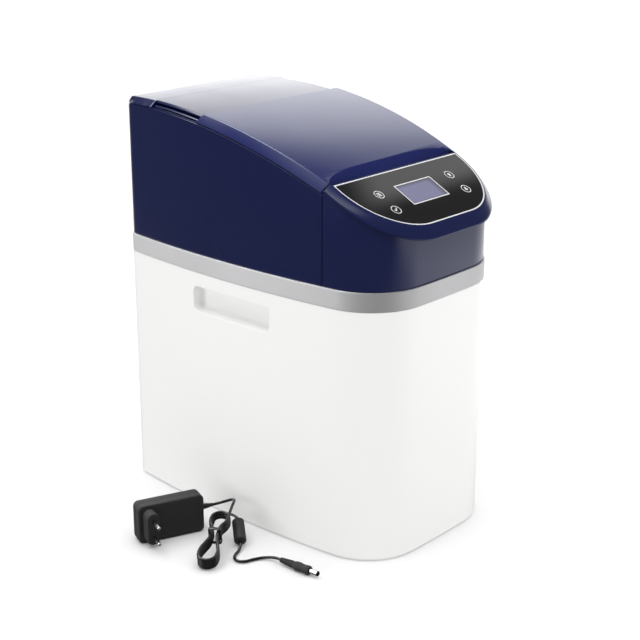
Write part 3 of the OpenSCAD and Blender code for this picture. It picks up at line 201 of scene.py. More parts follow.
class Form:
    """Arcs, planes and levels that the pieces share, worked out from the sizes."""

    def __init__(self, scene):
        c, l, p = scene.softener_cabinet, scene.softener_lid, scene.softener_panel
        self.cabinet, self.lid, self.panel = c, l, p
        half_d, half_w = c.depth / 2, c.width / 2
        self.half_d = half_d
        self.side_r = (half_d ** 2 + c.side_bow ** 2) / (2 * c.side_bow)
        front_r = (half_w ** 2 + c.front_bow ** 2) / (2 * c.front_bow)
        self.side_c = Vector((self.side_r - half_w, 0))
        front_c = Vector((0, front_r - half_d))
        corner_c = meeting(self.side_c, self.side_r - c.front_corner, front_c, front_r - c.front_corner)
        rear_y = half_d - c.rear_corner
        rear_c = Vector((self.side_x(rear_y, c.rear_corner), rear_y))
        stops = [math.tau * 0.75, bearing(front_c, corner_c), bearing(self.side_c, corner_c),
                 bearing(self.side_c, rear_c), math.tau / 4]
        centres = [front_c, corner_c, self.side_c, rear_c]
        self.arcs = [(centre, stops[i + 1] - stops[i], steps)
                     for i, (centre, steps) in enumerate(zip(centres, (5, 24, 44, 9)))]
        self.hood_z = c.body_height + c.belt_height
        self.axis_y = half_d - c.hood_inset - l.rim_in
        self.axis_z = self.hood_z - l.rim_drop
        self.lid_edge_r = l.rim_radius + l.gap
        self.lid_r = self.lid_edge_r + l.band_height
        self.cover_low_r = l.rim_radius + 0.3 * MM
        self.cover_r = self.lid_r - l.thickness - 0.5 * MM
        self.seam_y = -(half_d - c.hood_inset) + l.seam_back
        self.seam_gap = 0.45 * MM
        self.front_a = math.asin((self.axis_y - self.seam_y - self.seam_gap) / (self.lid_r - l.band_height / 2))
        self.stop_a = l.rear_angle - l.travel - math.radians(0.35)
        lid_y, lid_z = self.on_rim(self.lid_r, self.front_a)
        self.deck_y, self.deck_z = lid_y - 2 * self.seam_gap, lid_z
        self.panel_y = lid_y - p.set_back
        self.front_y = self.panel_y - p.depth
        self.lip_side = -self.side_x(self.deck_y, c.hood_inset) - p.width / 2 - p.lip_out

    def side_x(self, y, t):
        """Left wall at depth y, set in by t."""
        return self.side_c.x - math.sqrt((self.side_r - t) ** 2 - y * y)

    def on_rim(self, r, a):
        """Depth and height of a point at radius r and angle a about the rim's axis."""
        return self.axis_y - r * math.sin(a), self.axis_z + r * math.cos(a)

    def rim_level(self, r, y):
        """Height of the arc of radius r at depth y."""
        return self.axis_z + math.sqrt(r * r - (self.axis_y - y) ** 2)

    def deck(self, y):
        """Height of the panel's plane at depth y."""
        return self.deck_z - (self.deck_y - y) * math.tan(self.panel.slope)

    def under_lip(self, y):
        """Height of the lip's lower plane at depth y."""
        return self.deck_z - self.panel.lip_height - (self.deck_y - y) * math.tan(self.panel.lip_slope)

    def on_panel(self):
        """Matrix of the panel: X across, Y up the slope, Z out of it, origin at its upper edge."""
        place = Matrix.Translation((0, self.panel_y, self.deck(self.panel_y)))
        return place @ Matrix.Rotation(self.panel.slope, 4, "X")

    def outline(self, bm, t, z=0.0):
        """Closed plan outline set in by t: spun arcs, then mirrored. Gives its edges."""
        old = set(bm.verts), set(bm.edges)
        vert = bm.verts.new((0, t - self.half_d, z))
        for centre, turn, steps in self.arcs:
            out = bmesh.ops.spin(bm, geom=[vert], cent=(*centre, z), axis=(0, 0, 1), angle=turn, steps=steps)
            vert = out["geom_last"][0]
        bm.edges.new((vert, bm.verts.new((0, self.half_d - t, z))))
        return mirror_new(bm, old)

    def panel_line(self, bm, out, level, closed=False, side=0.0):
        """Half-round outline of the panel grown by out, and by side more at the seam, at a level given by depth."""
        p, quarter = self.panel, math.tau / 4
        old = set(bm.verts), set(bm.edges)
        centre = Vector((p.corner - p.width / 2, self.front_y + p.corner, 0))
        first = bm.verts.new((0, self.front_y - out, 0))
        vert = bm.verts.new((centre.x, self.front_y - out, 0))
        bm.edges.new((first, vert))
        arc = bmesh.ops.spin(bm, geom=[vert], cent=centre, axis=(0, 0, 1), angle=-quarter, steps=28)
        for v in bm.verts:
            if v not in old[0] and v.co.x < centre.x:
                arm = v.co - centre
                v.co += arm.normalized() * side * (math.atan2(-arm.x, -arm.y) / quarter) ** 2
        last = bm.verts.new((-p.width / 2 - out - side, self.panel_y + out if closed else self.deck_y, 0))
        bm.edges.new((arc["geom_last"][0], last))
        if closed:
            bm.edges.new((last, bm.verts.new((0, last.co.y, 0))))
        edges = mirror_new(bm, old)
        for v in bm.verts:
            if v not in old[0]:
                v.co.z = level(v.co.y)
        return edges


def mirror_new(bm, old):
    """Mirrors what isn't in the old sets of points and edges, and gives all the new edges."""
    half = [v for v in bm.verts if v not in old[0]] + [e for e in bm.edges if e not in old[1]]
    bmesh.ops.mirror(bm, geom=half, axis="X", merge_dist=TINY)
    return [e for e in bm.edges if e not in old[1]]


def extrude(bm, faces, move):
    """Extrudes faces by a vector and gives the new end faces."""
    out = bmesh.ops.extrude_face_region(bm, geom=faces)["geom"]
    bmesh.ops.translate(bm, verts=[g for g in out if isinstance(g, bmesh.types.BMVert)], vec=move)
    return [g for g in out if isinstance(g, bmesh.types.BMFace)]


def close_open_ends(bm):
    """Fills each loop of open edges."""
    open_edges = [e for e in bm.edges if len(e.link_faces) == 1]
    if open_edges:
        bmesh.ops.edgeloop_fill(bm, edges=open_edges)


def slice_at(bm, point, normal, clear_outer=False):
    """Adds edges where a plane crosses the mesh, and can take away what lies beyond it."""
    geom = list(bm.verts) + list(bm.edges) + list(bm.faces)
    bmesh.ops.bisect_plane(bm, geom=geom, dist=HAIR, plane_co=point, plane_no=normal, clear_outer=clear_outer)


def cut_away(bm, y, keep_rear):
    """Cuts the mesh at depth y, keeps one side of it and closes the cut."""
    slice_at(bm, (0, y, 0), (0, -1 if keep_rear else 1, 0), clear_outer=True)
    close_open_ends(bm)


def tidy(bm):
    """Merges doubles and turns every face outwards."""
    bmesh.ops.remove_doubles(bm, verts=bm.verts, dist=WELD)
    bmesh.ops.dissolve_degenerate(bm, edges=bm.edges, dist=TINY)
    bmesh.ops.recalc_face_normals(bm, faces=bm.faces)


def placed(bm, matrix):
    """Moves a bmesh by a matrix and gives it back."""
    bmesh.ops.transform(bm, matrix=matrix, verts=bm.verts)
    return bm


def sharp_edges(bm, least=30, where=None):
    """Edges sharper than an angle in degrees, at which a test on their middle holds."""
    picked = []
    for e in bm.edges:
        if len(e.link_faces) == 2 and e.calc_face_angle(0) > math.radians(least):
            if where is None or where((e.verts[0].co + e.verts[1].co) / 2):
                picked.append(e)
    return picked


def bevel(bm, edges, radius, segments, clamp):
    """Rounds the given edges."""
    bmesh.ops.bevel(bm, geom=edges, offset=radius, offset_type="OFFSET", segments=segments, profile=0.5,
                    affect="EDGES", material=-1, clamp_overlap=clamp)


def round_edges(bm, radius, segments=3, least=30, where=None):
    """Rounds sharp edges."""
    bevel(bm, sharp_edges(bm, least, where), radius, segments, True)


def as_object(name, bm):
    """Puts a bmesh into a new object of the scene."""
    tidy(bm)
    mesh = bpy.data.meshes.new(name)
    bm.to_mesh(mesh)
    bm.free()
    obj = bpy.data.objects.new(name, mesh)
    bpy.context.scene.collection.objects.link(obj)
    return obj


def carve(bm, tools, operation="DIFFERENCE"):
    """Cuts a bmesh with others, or joins them to it, and gives the result."""
    base = as_object("carved", bm)
    cutters = [as_object("cutter", tool) for tool in tools]
    for cutter in cutters:
        step = base.modifiers.new("carve", "BOOLEAN")
        step.operation, step.solver, step.object = operation, "EXACT", cutter
    bpy.context.view_layer.update()
    found = base.evaluated_get(bpy.context.evaluated_depsgraph_get())
    out = bmesh.new()
    out.from_mesh(found.to_mesh())
    found.to_mesh_clear()
    for obj in [base] + cutters:
        mesh = obj.data
        bpy.data.objects.remove(obj)
        bpy.data.meshes.remove(mesh)
    tidy(out)
    return out


def piece(name, bm, material, body, slot, *nodes, smooth=35):
    """Finishes a piece: smooth shading, its material, the body that it rides on and the nodes it stands for."""
    obj = as_object(name, bm)
    obj.data.materials.append(material)
    obj.data.shade_smooth()
    obj.data.set_sharp_from_angle(angle=math.radians(smooth))
    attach(obj, body)
    if nodes:
        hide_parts(*nodes)
    return obj


def rounded_box(size, centre, axis, corner, edge=0.0, segments=7):
    """A box with round corners about one axis, and softened edges."""
    bm = bmesh.new()
    bmesh.ops.create_cube(bm, size=1)
    bmesh.ops.scale(bm, vec=size, verts=bm.verts)
    along = Vector([1.0 if i == "XYZ".index(axis) else 0.0 for i in range(3)])
    upright = [e for e in bm.edges if abs((e.verts[1].co - e.verts[0].co).normalized().dot(along)) > 0.9]
    bevel(bm, upright, corner, segments, False)
    if edge:
        round_edges(bm, edge, 4, 60)
    bmesh.ops.translate(bm, verts=bm.verts, vec=centre)
    return bm


def round_bar(r, height, matrix, segments=40):
    """A closed cylinder whose foot is at the matrix's origin."""
    bm = bmesh.new()
    bmesh.ops.create_cone(bm, cap_ends=True, segments=segments, radius1=r, radius2=r, depth=height,
                          matrix=matrix @ Matrix.Translation((0, 0, height / 2)))
    return bm


def turned(profile, matrix, steps=48):
    """A turned piece: its half profile of radius and height spun about Z."""
    bm = bmesh.new()
    verts = [bm.verts.new((r, 0, z)) for r, z in profile]
    edges = [bm.edges.new(pair) for pair in zip(verts, verts[1:])]
    bmesh.ops.spin(bm, geom=verts + edges, cent=(0, 0, 0), axis=(0, 0, 1), angle=math.tau, steps=steps, use_merge=True)
    bmesh.ops.remove_doubles(bm, verts=bm.verts, dist=WELD)
    return placed(bm, matrix)


def facing(point, direction):
    """Matrix at a point with Z along a direction."""
    return Matrix.Translation(point) @ Vector(direction).to_track_quat("Z", "Y").to_matrix().to_4x4()


def quarter_turn(steps):
    """Angles of a quarter turn, both ends included."""
    return [math.pi / 2 * i / steps for i in range(steps + 1)]


def fillet(a, corner, b, r, steps):
    """Points of an arc of radius r that rounds the corner between two points."""
    to_a, to_b = (a - corner).normalized(), (b - corner).normalized()
    half = to_a.angle(to_b) / 2
    centre = corner + (to_a + to_b).normalized() * r / math.sin(half)
    start, end = (corner + to * r / math.tan(half) - centre for to in (to_a, to_b))
    turn = start.angle_signed(end)
    return [centre + Matrix.Rotation(-turn * i / steps, 2) @ start for i in range(steps + 1)]


def rim_spin(form, section, start, turn, steps):
    """A closed section of x and radius, spun about the rim's axis."""
    bm = bmesh.new()
    verts = [bm.verts.new((x, *form.on_rim(r, start))) for x, r in section]
    face = bm.faces.new(verts)
    bmesh.ops.spin(bm, geom=verts + list(bm.edges) + [face], cent=(0, form.axis_y, form.axis_z), axis=(1, 0, 0),
                   angle=turn, steps=steps)
    return bm


def rim_sweep(form, half, a0, a1, steps):
    """A closed section of inset and radius, mirrored, spun about the rim's axis and fitted to the bowed walls."""
    ref = 0.2
    path = [(t - ref, r) for t, r in half] + [(ref - t, r) for t, r in reversed(half)]
    bm = rim_spin(form, path, a0, a1 - a0, steps)
    for v in bm.verts:
        wall = form.side_x(v.co.y, ref - abs(v.co.x))
        v.co.x = wall if v.co.x < 0 else -wall
    return bm


def ring_wall(form, t0, t1, z0, top):
    """A wall between two plan outlines, from one height up to a level that depends on depth."""
    bm = bmesh.new()
    edges = form.outline(bm, t0, z0) + form.outline(bm, t1, z0)
    faces = bmesh.ops.bridge_loops(bm, edges=edges)["faces"]
    for f in extrude(bm, faces, (0, 0, 0.01)):
        for v in f.verts:
            v.co.z = top(v.co.y)
    return bm


def join(*parts):
    """Puts several bmeshes into one."""
    whole = bmesh.new()
    for part in parts:
        tidy(part)
        mesh = bpy.data.meshes.new("part")
        part.to_mesh(mesh)
        part.free()
        whole.from_mesh(mesh)
        bpy.data.meshes.remove(mesh)
    return whole


def group_sockets(name, inputs, outputs):
    """A new shader node group with its sockets, its nodes and its links."""
    tree = bpy.data.node_groups.new(name, "ShaderNodeTree")
    for label, default in inputs:
        tree.interface.new_socket(label, in_out="INPUT", socket_type="NodeSocketFloat").default_value = default
    for label in outputs:
        tree.interface.new_socket(label, in_out="OUTPUT", socket_type="NodeSocketFloat")
    return tree, tree.nodes.new("NodeGroupInput"), tree.nodes.new("NodeGroupOutput")


def moulded_grain():
    """Group: fine grain of a moulded surface, and a broad mottle of its colour."""
    if "moulded_grain" in bpy.data.node_groups:
        return bpy.data.node_groups["moulded_grain"]
    tree, given, out = group_sockets("moulded_grain", [("Grain", 1500), ("Mottle", 14)], ["Height", "Shade"])
    place = tree.nodes.new("ShaderNodeTexCoord")
    for label, detail, result in (("Grain", 3, "Height"), ("Mottle", 4, "Shade")):
        noise = tree.nodes.new("ShaderNodeTexNoise")
        noise.inputs["Detail"].default_value = detail
        tree.links.new(place.outputs["Object"], noise.inputs["Vector"])
        tree.links.new(given.outputs[label], noise.inputs["Scale"])
        tree.links.new(noise.outputs["Fac"], out.inputs[result])
    return tree


def handling_marks():
    """Group: soft streaks and smears where a surface is wiped and touched."""
    if "handling_marks" in bpy.data.node_groups:
        return bpy.data.node_groups["handling_marks"]
    tree, given, out = group_sockets("handling_marks", [("Size", 9), ("Stretch", 2.5)], ["Mask"])
    place = tree.nodes.new("ShaderNodeTexCoord")
    mapping = tree.nodes.new("ShaderNodeMapping")
    stretch = tree.nodes.new("ShaderNodeCombineXYZ")
    stretch.inputs["Y"].default_value = 1
    stretch.inputs["Z"].default_value = 1
    noise = tree.nodes.new("ShaderNodeTexNoise")
    noise.inputs["Detail"].default_value = 2
    noise.inputs["Distortion"].default_value = 0.15
    ramp = tree.nodes.new("ShaderNodeValToRGB")
    ramp.color_ramp.elements[0].position = 0.25
    ramp.color_ramp.elements[1].position = 0.80
    tree.links.new(given.outputs["Stretch"], stretch.inputs["X"])
    tree.links.new(place.outputs["Object"], mapping.inputs["Vector"])
    tree.links.new(stretch.outputs["Vector"], mapping.inputs["Scale"])
    tree.links.new(mapping.outputs["Vector"], noise.inputs["Vector"])
    tree.links.new(given.outputs["Size"], noise.inputs["Scale"])
    tree.links.new(noise.outputs["Fac"], ramp.inputs["Fac"])
    tree.links.new(ramp.outputs["Color"], out.inputs["Mask"])
    return tree


def shade(c, factor):
    """A colour made darker or lighter, with alpha."""
    return [min(1.0, max(0.0, v * factor)) for v in c] + [1.0]


class Finish:
    """A procedural material: grain and mottle on the base, marks in the roughness."""

    def __init__(self, name, base, rough, grain=1500, bump=0.03, vary=0.06, spread=0.05, metallic=0.0, specular=0.5,
                 mottle=14, marks=9):
        self.material = bpy.data.materials.new(name)
        self.material.use_nodes = True
        tree = self.material.node_tree
        self.nodes, self.links = tree.nodes, tree.links
        self.shader = self.nodes["Principled BSDF"]
        self.shader.inputs["Metallic"].default_value = metallic
        self.shader.inputs["Specular IOR Level"].default_value = specular
        grain_node = self.group(moulded_grain(), Grain=grain, Mottle=mottle)
        mark_node = self.group(handling_marks(), Size=marks)
        self.base = self.mix(grain_node.outputs["Shade"], shade(base, 1 - vary), shade(base, 1 + vary))
        self.links.new(self.base, self.shader.inputs["Base Color"])
        spread_node = self.nodes.new("ShaderNodeMapRange")
        spread_node.inputs["To Min"].default_value = max(0.02, rough - spread)
        spread_node.inputs["To Max"].default_value = min(1.0, rough + spread)
        self.links.new(mark_node.outputs["Mask"], spread_node.inputs["Value"])
        self.links.new(spread_node.outputs["Result"], self.shader.inputs["Roughness"])
        bump_node = self.nodes.new("ShaderNodeBump")
        bump_node.inputs["Strength"].default_value = bump
        bump_node.inputs["Distance"].default_value = 0.0003
        self.links.new(grain_node.outputs["Height"], bump_node.inputs["Height"])
        self.links.new(bump_node.outputs["Normal"], self.shader.inputs["Normal"])

    def group(self, tree, **values):
        """Places a node group with its values."""
        node = self.nodes.new("ShaderNodeGroup")
        node.node_tree = tree
        for label, value in values.items():
            node.inputs[label].default_value = value
        return node

    def mix(self, factor, a, b):
        """Mixes two colours, each a value or a socket, and gives the result."""
        node = self.nodes.new("ShaderNodeMix")
        node.data_type = "RGBA"
        self.links.new(factor, node.inputs["Factor"])
        for socket, value in ((node.inputs[6], a), (node.inputs[7], b)):
            if isinstance(value, bpy.types.NodeSocket):
                self.links.new(value, socket)
            else:
                socket.default_value = value
        return node.outputs[2]

    def along(self, point, direction, start, end):
        """Mask that rises from 0 to 1 between two distances from a point along a direction."""
        place = self.nodes.new("ShaderNodeTexCoord")
        offset = self.nodes.new("ShaderNodeVectorMath")
        offset.operation = "SUBTRACT"
        offset.inputs[1].default_value = point
        dot = self.nodes.new("ShaderNodeVectorMath")
        dot.operation = "DOT_PRODUCT"
        dot.inputs[1].default_value = direction
        span = self.nodes.new("ShaderNodeMapRange")
        span.inputs["From Min"].default_value = start
        span.inputs["From Max"].default_value = end
        self.links.new(place.outputs["Object"], offset.inputs[0])
        self.links.new(offset.outputs["Vector"], dot.inputs[0])
        self.links.new(dot.outputs["Value"], span.inputs["Value"])
        return span.outputs["Result"]

    def recolour(self, mask, c):
        """Lays another colour over the base where a mask is 1."""
        self.base = self.mix(mask, self.base, list(c) + [1.0])
        self.links.new(self.base, self.shader.inputs["Base Color"])


def finish(name, *args, **kwargs):
    """The material of that name, made on first use."""
    found = bpy.data.materials.get(name)
    return found if found else Finish(name, *args, **kwargs).material


def white_shell(scene):
    """Moulded white of the cabinet."""
    return finish("white_shell", scene.softener_finishes.white, 0.38, grain=900, bump=0.02, vary=0.012, spread=0.06)


def navy_gloss(scene):
    """Dark blue moulding of the hood."""
    return finish("navy_gloss", scene.softener_finishes.navy, 0.21, grain=1600, bump=0.01, vary=0.06, spread=0.02)


def adapter_black(scene):
    """Fine-grained black of the adapter."""
    return finish("adapter_black", scene.softener_finishes.adapter, 0.28, grain=2600, bump=0.05, vary=0.15)


def adapter_frame():
    """Matrix of the adapter: X along it, Y through its thickness to the rear, Z up."""
    return Matrix.Translation((-234 * MM, 43.5 * MM, 0)) @ Matrix.Rotation(math.radians(-22.3), 4, "Z")


class SOFTENER_OT_body(bpy.types.Operator):
    """Build the white cabinet with its handle pockets"""

    bl_idname = "softener.body"
    bl_label = "Cabinet"

    def execute(self, context):
        form = Form(context.scene)
        c = form.cabinet
        top_round, mouth_round = 0.5 * MM, 1.1 * MM
        boss_in, boss_corner = 2.5 * MM, 10 * MM
        pocket_corner, pocket_round, through = 7 * MM, 4 * MM, 60 * MM
        bm = bmesh.new()
        rim = bmesh.ops.edgeloop_fill(bm, edges=form.outline(bm, 0.0, c.foot_rim))["faces"]
        top = extrude(bm, rim, (0, 0, c.body_height - c.foot_rim))
        bmesh.ops.inset_region(bm, faces=top, thickness=c.wall, use_even_offset=True)
        extrude(bm, top, (0, 0, c.floor - c.body_height))
        tidy(bm)
        round_edges(bm, c.foot_round, 3, 60, lambda p: p.z < c.foot_rim + NEAR)
        foot = [f for f in bm.faces if f.normal.z < -0.99 and f.calc_center_median().z < c.foot_rim + NEAR]
        bmesh.ops.inset_region(bm, faces=foot, thickness=c.foot_in - c.foot_round, use_even_offset=True)
        extrude(bm, foot, (0, 0, -c.foot_rim))
        round_edges(bm, top_round, 2, 60, lambda p: p.z > c.body_height - NEAR)
        mid = (c.pocket_y, c.body_height - c.pocket_drop)
        inner = c.width / 2 - c.pocket_depth
        reach = c.width / 2 - boss_in - (inner - c.wall)
        bosses, pockets = [], []
        for side in (-1, 1):
            bosses.append(rounded_box((reach, c.pocket_length + 2 * c.wall, c.pocket_height + 2 * c.wall),
                                      (side * (inner - c.wall + reach / 2), *mid), "X", boss_corner))
            pocket = rounded_box((through, c.pocket_length, c.pocket_height), (side * (inner + through / 2), *mid),
                                 "X", pocket_corner)
            round_edges(pocket, pocket_round, 4, 60, lambda p, s=side: abs(p.x - s * inner) < NEAR)
            pockets.append(pocket)
        bm = carve(carve(bm, bosses, "UNION"), pockets)
        round_edges(bm, mouth_round, 3, 50, self.on_mouth(form, mid))
        for side in (-1, 1):
            slice_at(bm, (0, mid[0] + side * (c.pocket_length / 2 + 2 * BESIDE), 0), (0, 1, 0))
            slice_at(bm, (0, 0, mid[1] + side * (c.pocket_height / 2 + 2 * BESIDE)), (0, 0, 1))
        for z in (c.foot_rim + c.foot_round + BESIDE / 2, c.body_height - BESIDE):
            slice_at(bm, (0, 0, z), (0, 0, 1))
        piece("cabinet_shell", carve(bm, [self.overflow(form)]), white_shell(context.scene), CABINET, "white_shell",
              "cabinet_body")
        return {"FINISHED"}

    def on_mouth(self, form, mid):
        """Test for the edge of a pocket's mouth in the outer wall."""
        skin, along, upright = 0.4 * MM, 75 * MM, 20 * MM
        return lambda p: (abs(p.x - math.copysign(form.side_x(p.y, 0), p.x)) < skin
                          and abs(p.y - mid[0]) < along and abs(p.z - mid[1]) < upright)

    def overflow(self, form):
        """Cutter of the overflow's hole in the rear wall."""
        r, span, x, drop = 8.1 * MM, 10 * MM, -60 * MM, 20 * MM
        at = (x, form.half_d - span / 2, form.cabinet.body_height - drop)
        return round_bar(r, span, facing(at, (0, 1, 0)))


class SOFTENER_OT_belt(bpy.types.Operator):
    """Build the silver belt"""

    bl_idname = "softener.belt"
    bl_label = "Belt"

    def execute(self, context):
        form = Form(context.scene)
        c = form.cabinet
        inset, edge_round = 4.1 * MM, 0.6 * MM
        bm = ring_wall(form, -c.belt_proud, inset, c.body_height, lambda y: form.hood_z)
        tidy(bm)
        round_edges(bm, edge_round, 3, 60)
        for z in (c.body_height + BESIDE, form.hood_z - BESIDE):
            slice_at(bm, (0, 0, z), (0, 0, 1))
        silver = Finish("satin_silver", context.scene.softener_finishes.silver, 0.58, grain=3000, bump=0.05,
                        vary=0.04, metallic=0.8)
        piece("belt_band", bm, silver.material, CABINET, "silver_belt", "belt_trim")
        return {"FINISHED"}


class SOFTENER_OT_hood(bpy.types.Operator):
    """Build the hood's walls and the rear cover with its tracks"""

    bl_idname = "softener.hood"
    bl_label = "Hood and rear cover"

    def execute(self, context):
        form = Form(context.scene)
        c, l = form.cabinet, form.lid
        step_width, lap, rim_round, edge_round = 1.2 * MM, 0.01 * MM, 0.85 * MM, 0.3 * MM
        hole_length, hole_start = 12 * MM, 8 * MM
        split = c.hood_inset + step_width
        low = lambda y: form.rim_level(l.rim_radius - l.rim_step, y)
        rim = lambda p: p.z > low(p.y) - 0.1 * MM and abs(p.x) > -form.side_x(p.y, c.hood_inset + 0.3 * MM)
        outer = ring_wall(form, c.hood_inset, split, form.hood_z, low)
        inner = ring_wall(form, split - lap, c.hood_inset + c.hood_wall, form.hood_z,
                          lambda y: form.rim_level(l.rim_radius, y))
        shells = []
        for wall in (outer, inner):
            cut_away(wall, form.seam_y + form.seam_gap, keep_rear=True)
            tidy(wall)
            round_edges(wall, rim_round, 4, 50, rim)
            round_edges(wall, edge_round, 2, 50)
            holes = [round_bar(r, hole_length, facing((x, form.half_d - hole_start, z), (0, 1, 0)))
                     for x, z, r in self.openings()]
            shells.append(carve(wall, holes))
        piece("hood_walls", join(*shells), navy_gloss(context.scene), CABINET, "navy_hood", "hood_shell")
        self.cover(context, form)
        return {"FINISHED"}

    def openings(self):
        """Places and radii of the holes in the rear wall, from the nodes that pass through them."""
        found = []
        for name, clear in (("inlet_port", 0.8), ("outlet_port", 0.8), ("drain_spigot", 0.8), ("dc_socket", -2.4)):
            lo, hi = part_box(name)
            found.append(((lo.x + hi.x) / 2, (lo.z + hi.z) / 2, (hi.x - lo.x) / 2 + clear * MM))
        return found

    def cover(self, context, form):
        """The rear cover: a track part set in at both sides, and a flush part with round corners behind it."""
        c, l = form.cabinet, form.lid
        low, high = form.cover_low_r, form.cover_r
        set_in, lean_in, groove_floor = 3.9 * MM, 6.7 * MM, 17 * MM
        track_round, rear_round, under_lid, slices, pitch = 0.6 * MM, 1.2 * MM, 14 * MM, 8, 5.5 * MM
        lean = lean_in / (high - low)
        at = lambda r: c.hood_inset + set_in + lean * (r - low)
        groove = (low + 1.4 * MM, low + 3.7 * MM)
        section = [(at(low), low), (at(groove[0]), groove[0]), (groove_floor, groove[0]), (groove_floor, groove[1]),
                   (at(groove[1]), groove[1]), (at(high), high)]
        start = l.rear_angle + under_lid / form.lid_r
        track = rim_sweep(form, section, start, form.stop_a - math.radians(0.3), 26)
        tidy(track)
        round_edges(track, track_round, 3, 35)
        rear = bmesh.new()
        edges = form.outline(rear, c.hood_inset, 0) + form.outline(rear, c.hood_inset + l.band_lean, 1)
        bmesh.ops.bridge_loops(rear, edges=edges)
        close_open_ends(rear)
        front = form.on_rim(high, form.stop_a)[0]
        cut_away(rear, front, keep_rear=True)
        for i in range(1, slices + 1):
            slice_at(rear, (0, front + i * pitch, 0), (0, 1, 0))
        for v in rear.verts:
            v.co.z = form.rim_level(high if v.co.z > 0.5 else low, v.co.y)
        tidy(rear)
        round_edges(rear, rear_round, 4, 28)
        piece("roof_cover", join(track, rear), navy_gloss(context.scene), CABINET, "navy_hood", "rear_cover")


class SOFTENER_OT_lid(bpy.types.Operator):
    """Build the sliding salt lid with its finger scoop"""

    bl_idname = "softener.lid"
    bl_label = "Salt lid"

    def execute(self, context):
        form = Form(context.scene)
        c, l = form.cabinet, form.lid
        edge, top = form.lid_edge_r, form.lid_r
        rear_lean, bar_width, side_wall, rear_wall = math.radians(0.7), 20 * MM, 2.5 * MM, math.radians(1.5)
        foot, corner = Vector((c.hood_inset, edge)), Vector((c.hood_inset + l.band_lean, top))
        section = [foot] + fillet(foot, corner, Vector((0.1, top)), l.shoulder_round, 5)
        bm = rim_sweep(form, section, form.front_a, l.rear_angle, 48)
        for v in bm.verts:
            r = math.hypot(form.axis_y - v.co.y, v.co.z - form.axis_z)
            a = math.asin((form.axis_y - v.co.y) / r)
            if abs(a - l.rear_angle) < SPOT and r > edge + 1 * MM:
                v.co.y, v.co.z = form.on_rim(r, a + rear_lean)
        tidy(bm)
        wall = c.hood_inset + side_wall
        hollow = rim_sweep(form, [(wall, edge - 2 * MM), (wall, edge + 0.2 * MM),
                                  (c.hood_inset + l.band_lean + 1.8 * MM, top - l.thickness)],
                           form.front_a - bar_width / top, l.rear_angle - rear_wall, 40)
        bm = carve(carve(bm, [hollow]), [self.scoop(form)])
        round_edges(bm, l.edge_round, 3, 25)
        behind = form.front_a - (l.edge_round + 0.3 * MM) / top
        slice_at(bm, (0, form.axis_y, form.axis_z), (0, math.cos(behind), math.sin(behind)))
        ribs = self.ribs(form)
        # Lid blue: partly the lid's own lighter moulding, partly painted light for the light on its upward faces.
        blue = Finish("lid_gloss", context.scene.softener_finishes.lid, 0.20, grain=1600, bump=0.01, spread=0.02)
        blue.shader.inputs["Specular Tint"].default_value = (0.90, 0.95, 1, 1)
        piece("sliding_lid", join(bm, ribs), blue.material, "lid", "navy_hood", "salt_lid")
        return {"FINISHED"}

    def scoop(self, form):
        """Cutter of the finger scoop: a slanted face from a flat arc on the lid down to the foot of its front."""
        l = form.lid
        foot, over, steps = 1 * MM, 1 * MM, 24
        depth = l.band_height - 1.5 * MM
        widen = 1 + (l.scoop_length / foot - 1) * (depth + over) / depth
        turns = [math.sin(math.pi / 2 * i / steps) for i in range(-steps, steps + 1)]
        edge = [(u * l.scoop_width / 2, foot * (1 - u ** 4) ** (2 / 3)) for u in turns]
        edge += [(l.scoop_width / 2, -foot), (-l.scoop_width / 2, -foot)]
        bm = bmesh.new()
        face = bm.faces.new([bm.verts.new((x, y, -depth)) for x, y in edge])
        for v in extrude(bm, [face], (0, 0, depth + over))[0].verts:
            v.co.y *= widen
        y, z = form.on_rim(form.lid_r, form.front_a)
        return placed(bm, Matrix.Translation((0, y, z)) @ Matrix.Rotation(form.front_a, 4, "X"))

    def ribs(self, form):
        """Short ribs at the lid's rear corners that run in the rear cover's grooves."""
        outer, inner, turn = 110.5 * MM, 102 * MM, math.radians(2.4)
        low = form.cover_low_r + 1.7 * MM
        high = low + 1.7 * MM
        start = form.lid.rear_angle + math.radians(0.4)
        section = ((outer, low), (outer, high), (inner, high), (inner, low))
        return join(*(rim_spin(form, [(side * x, r) for x, r in section], start, turn, 6) for side in (-1, 1)))


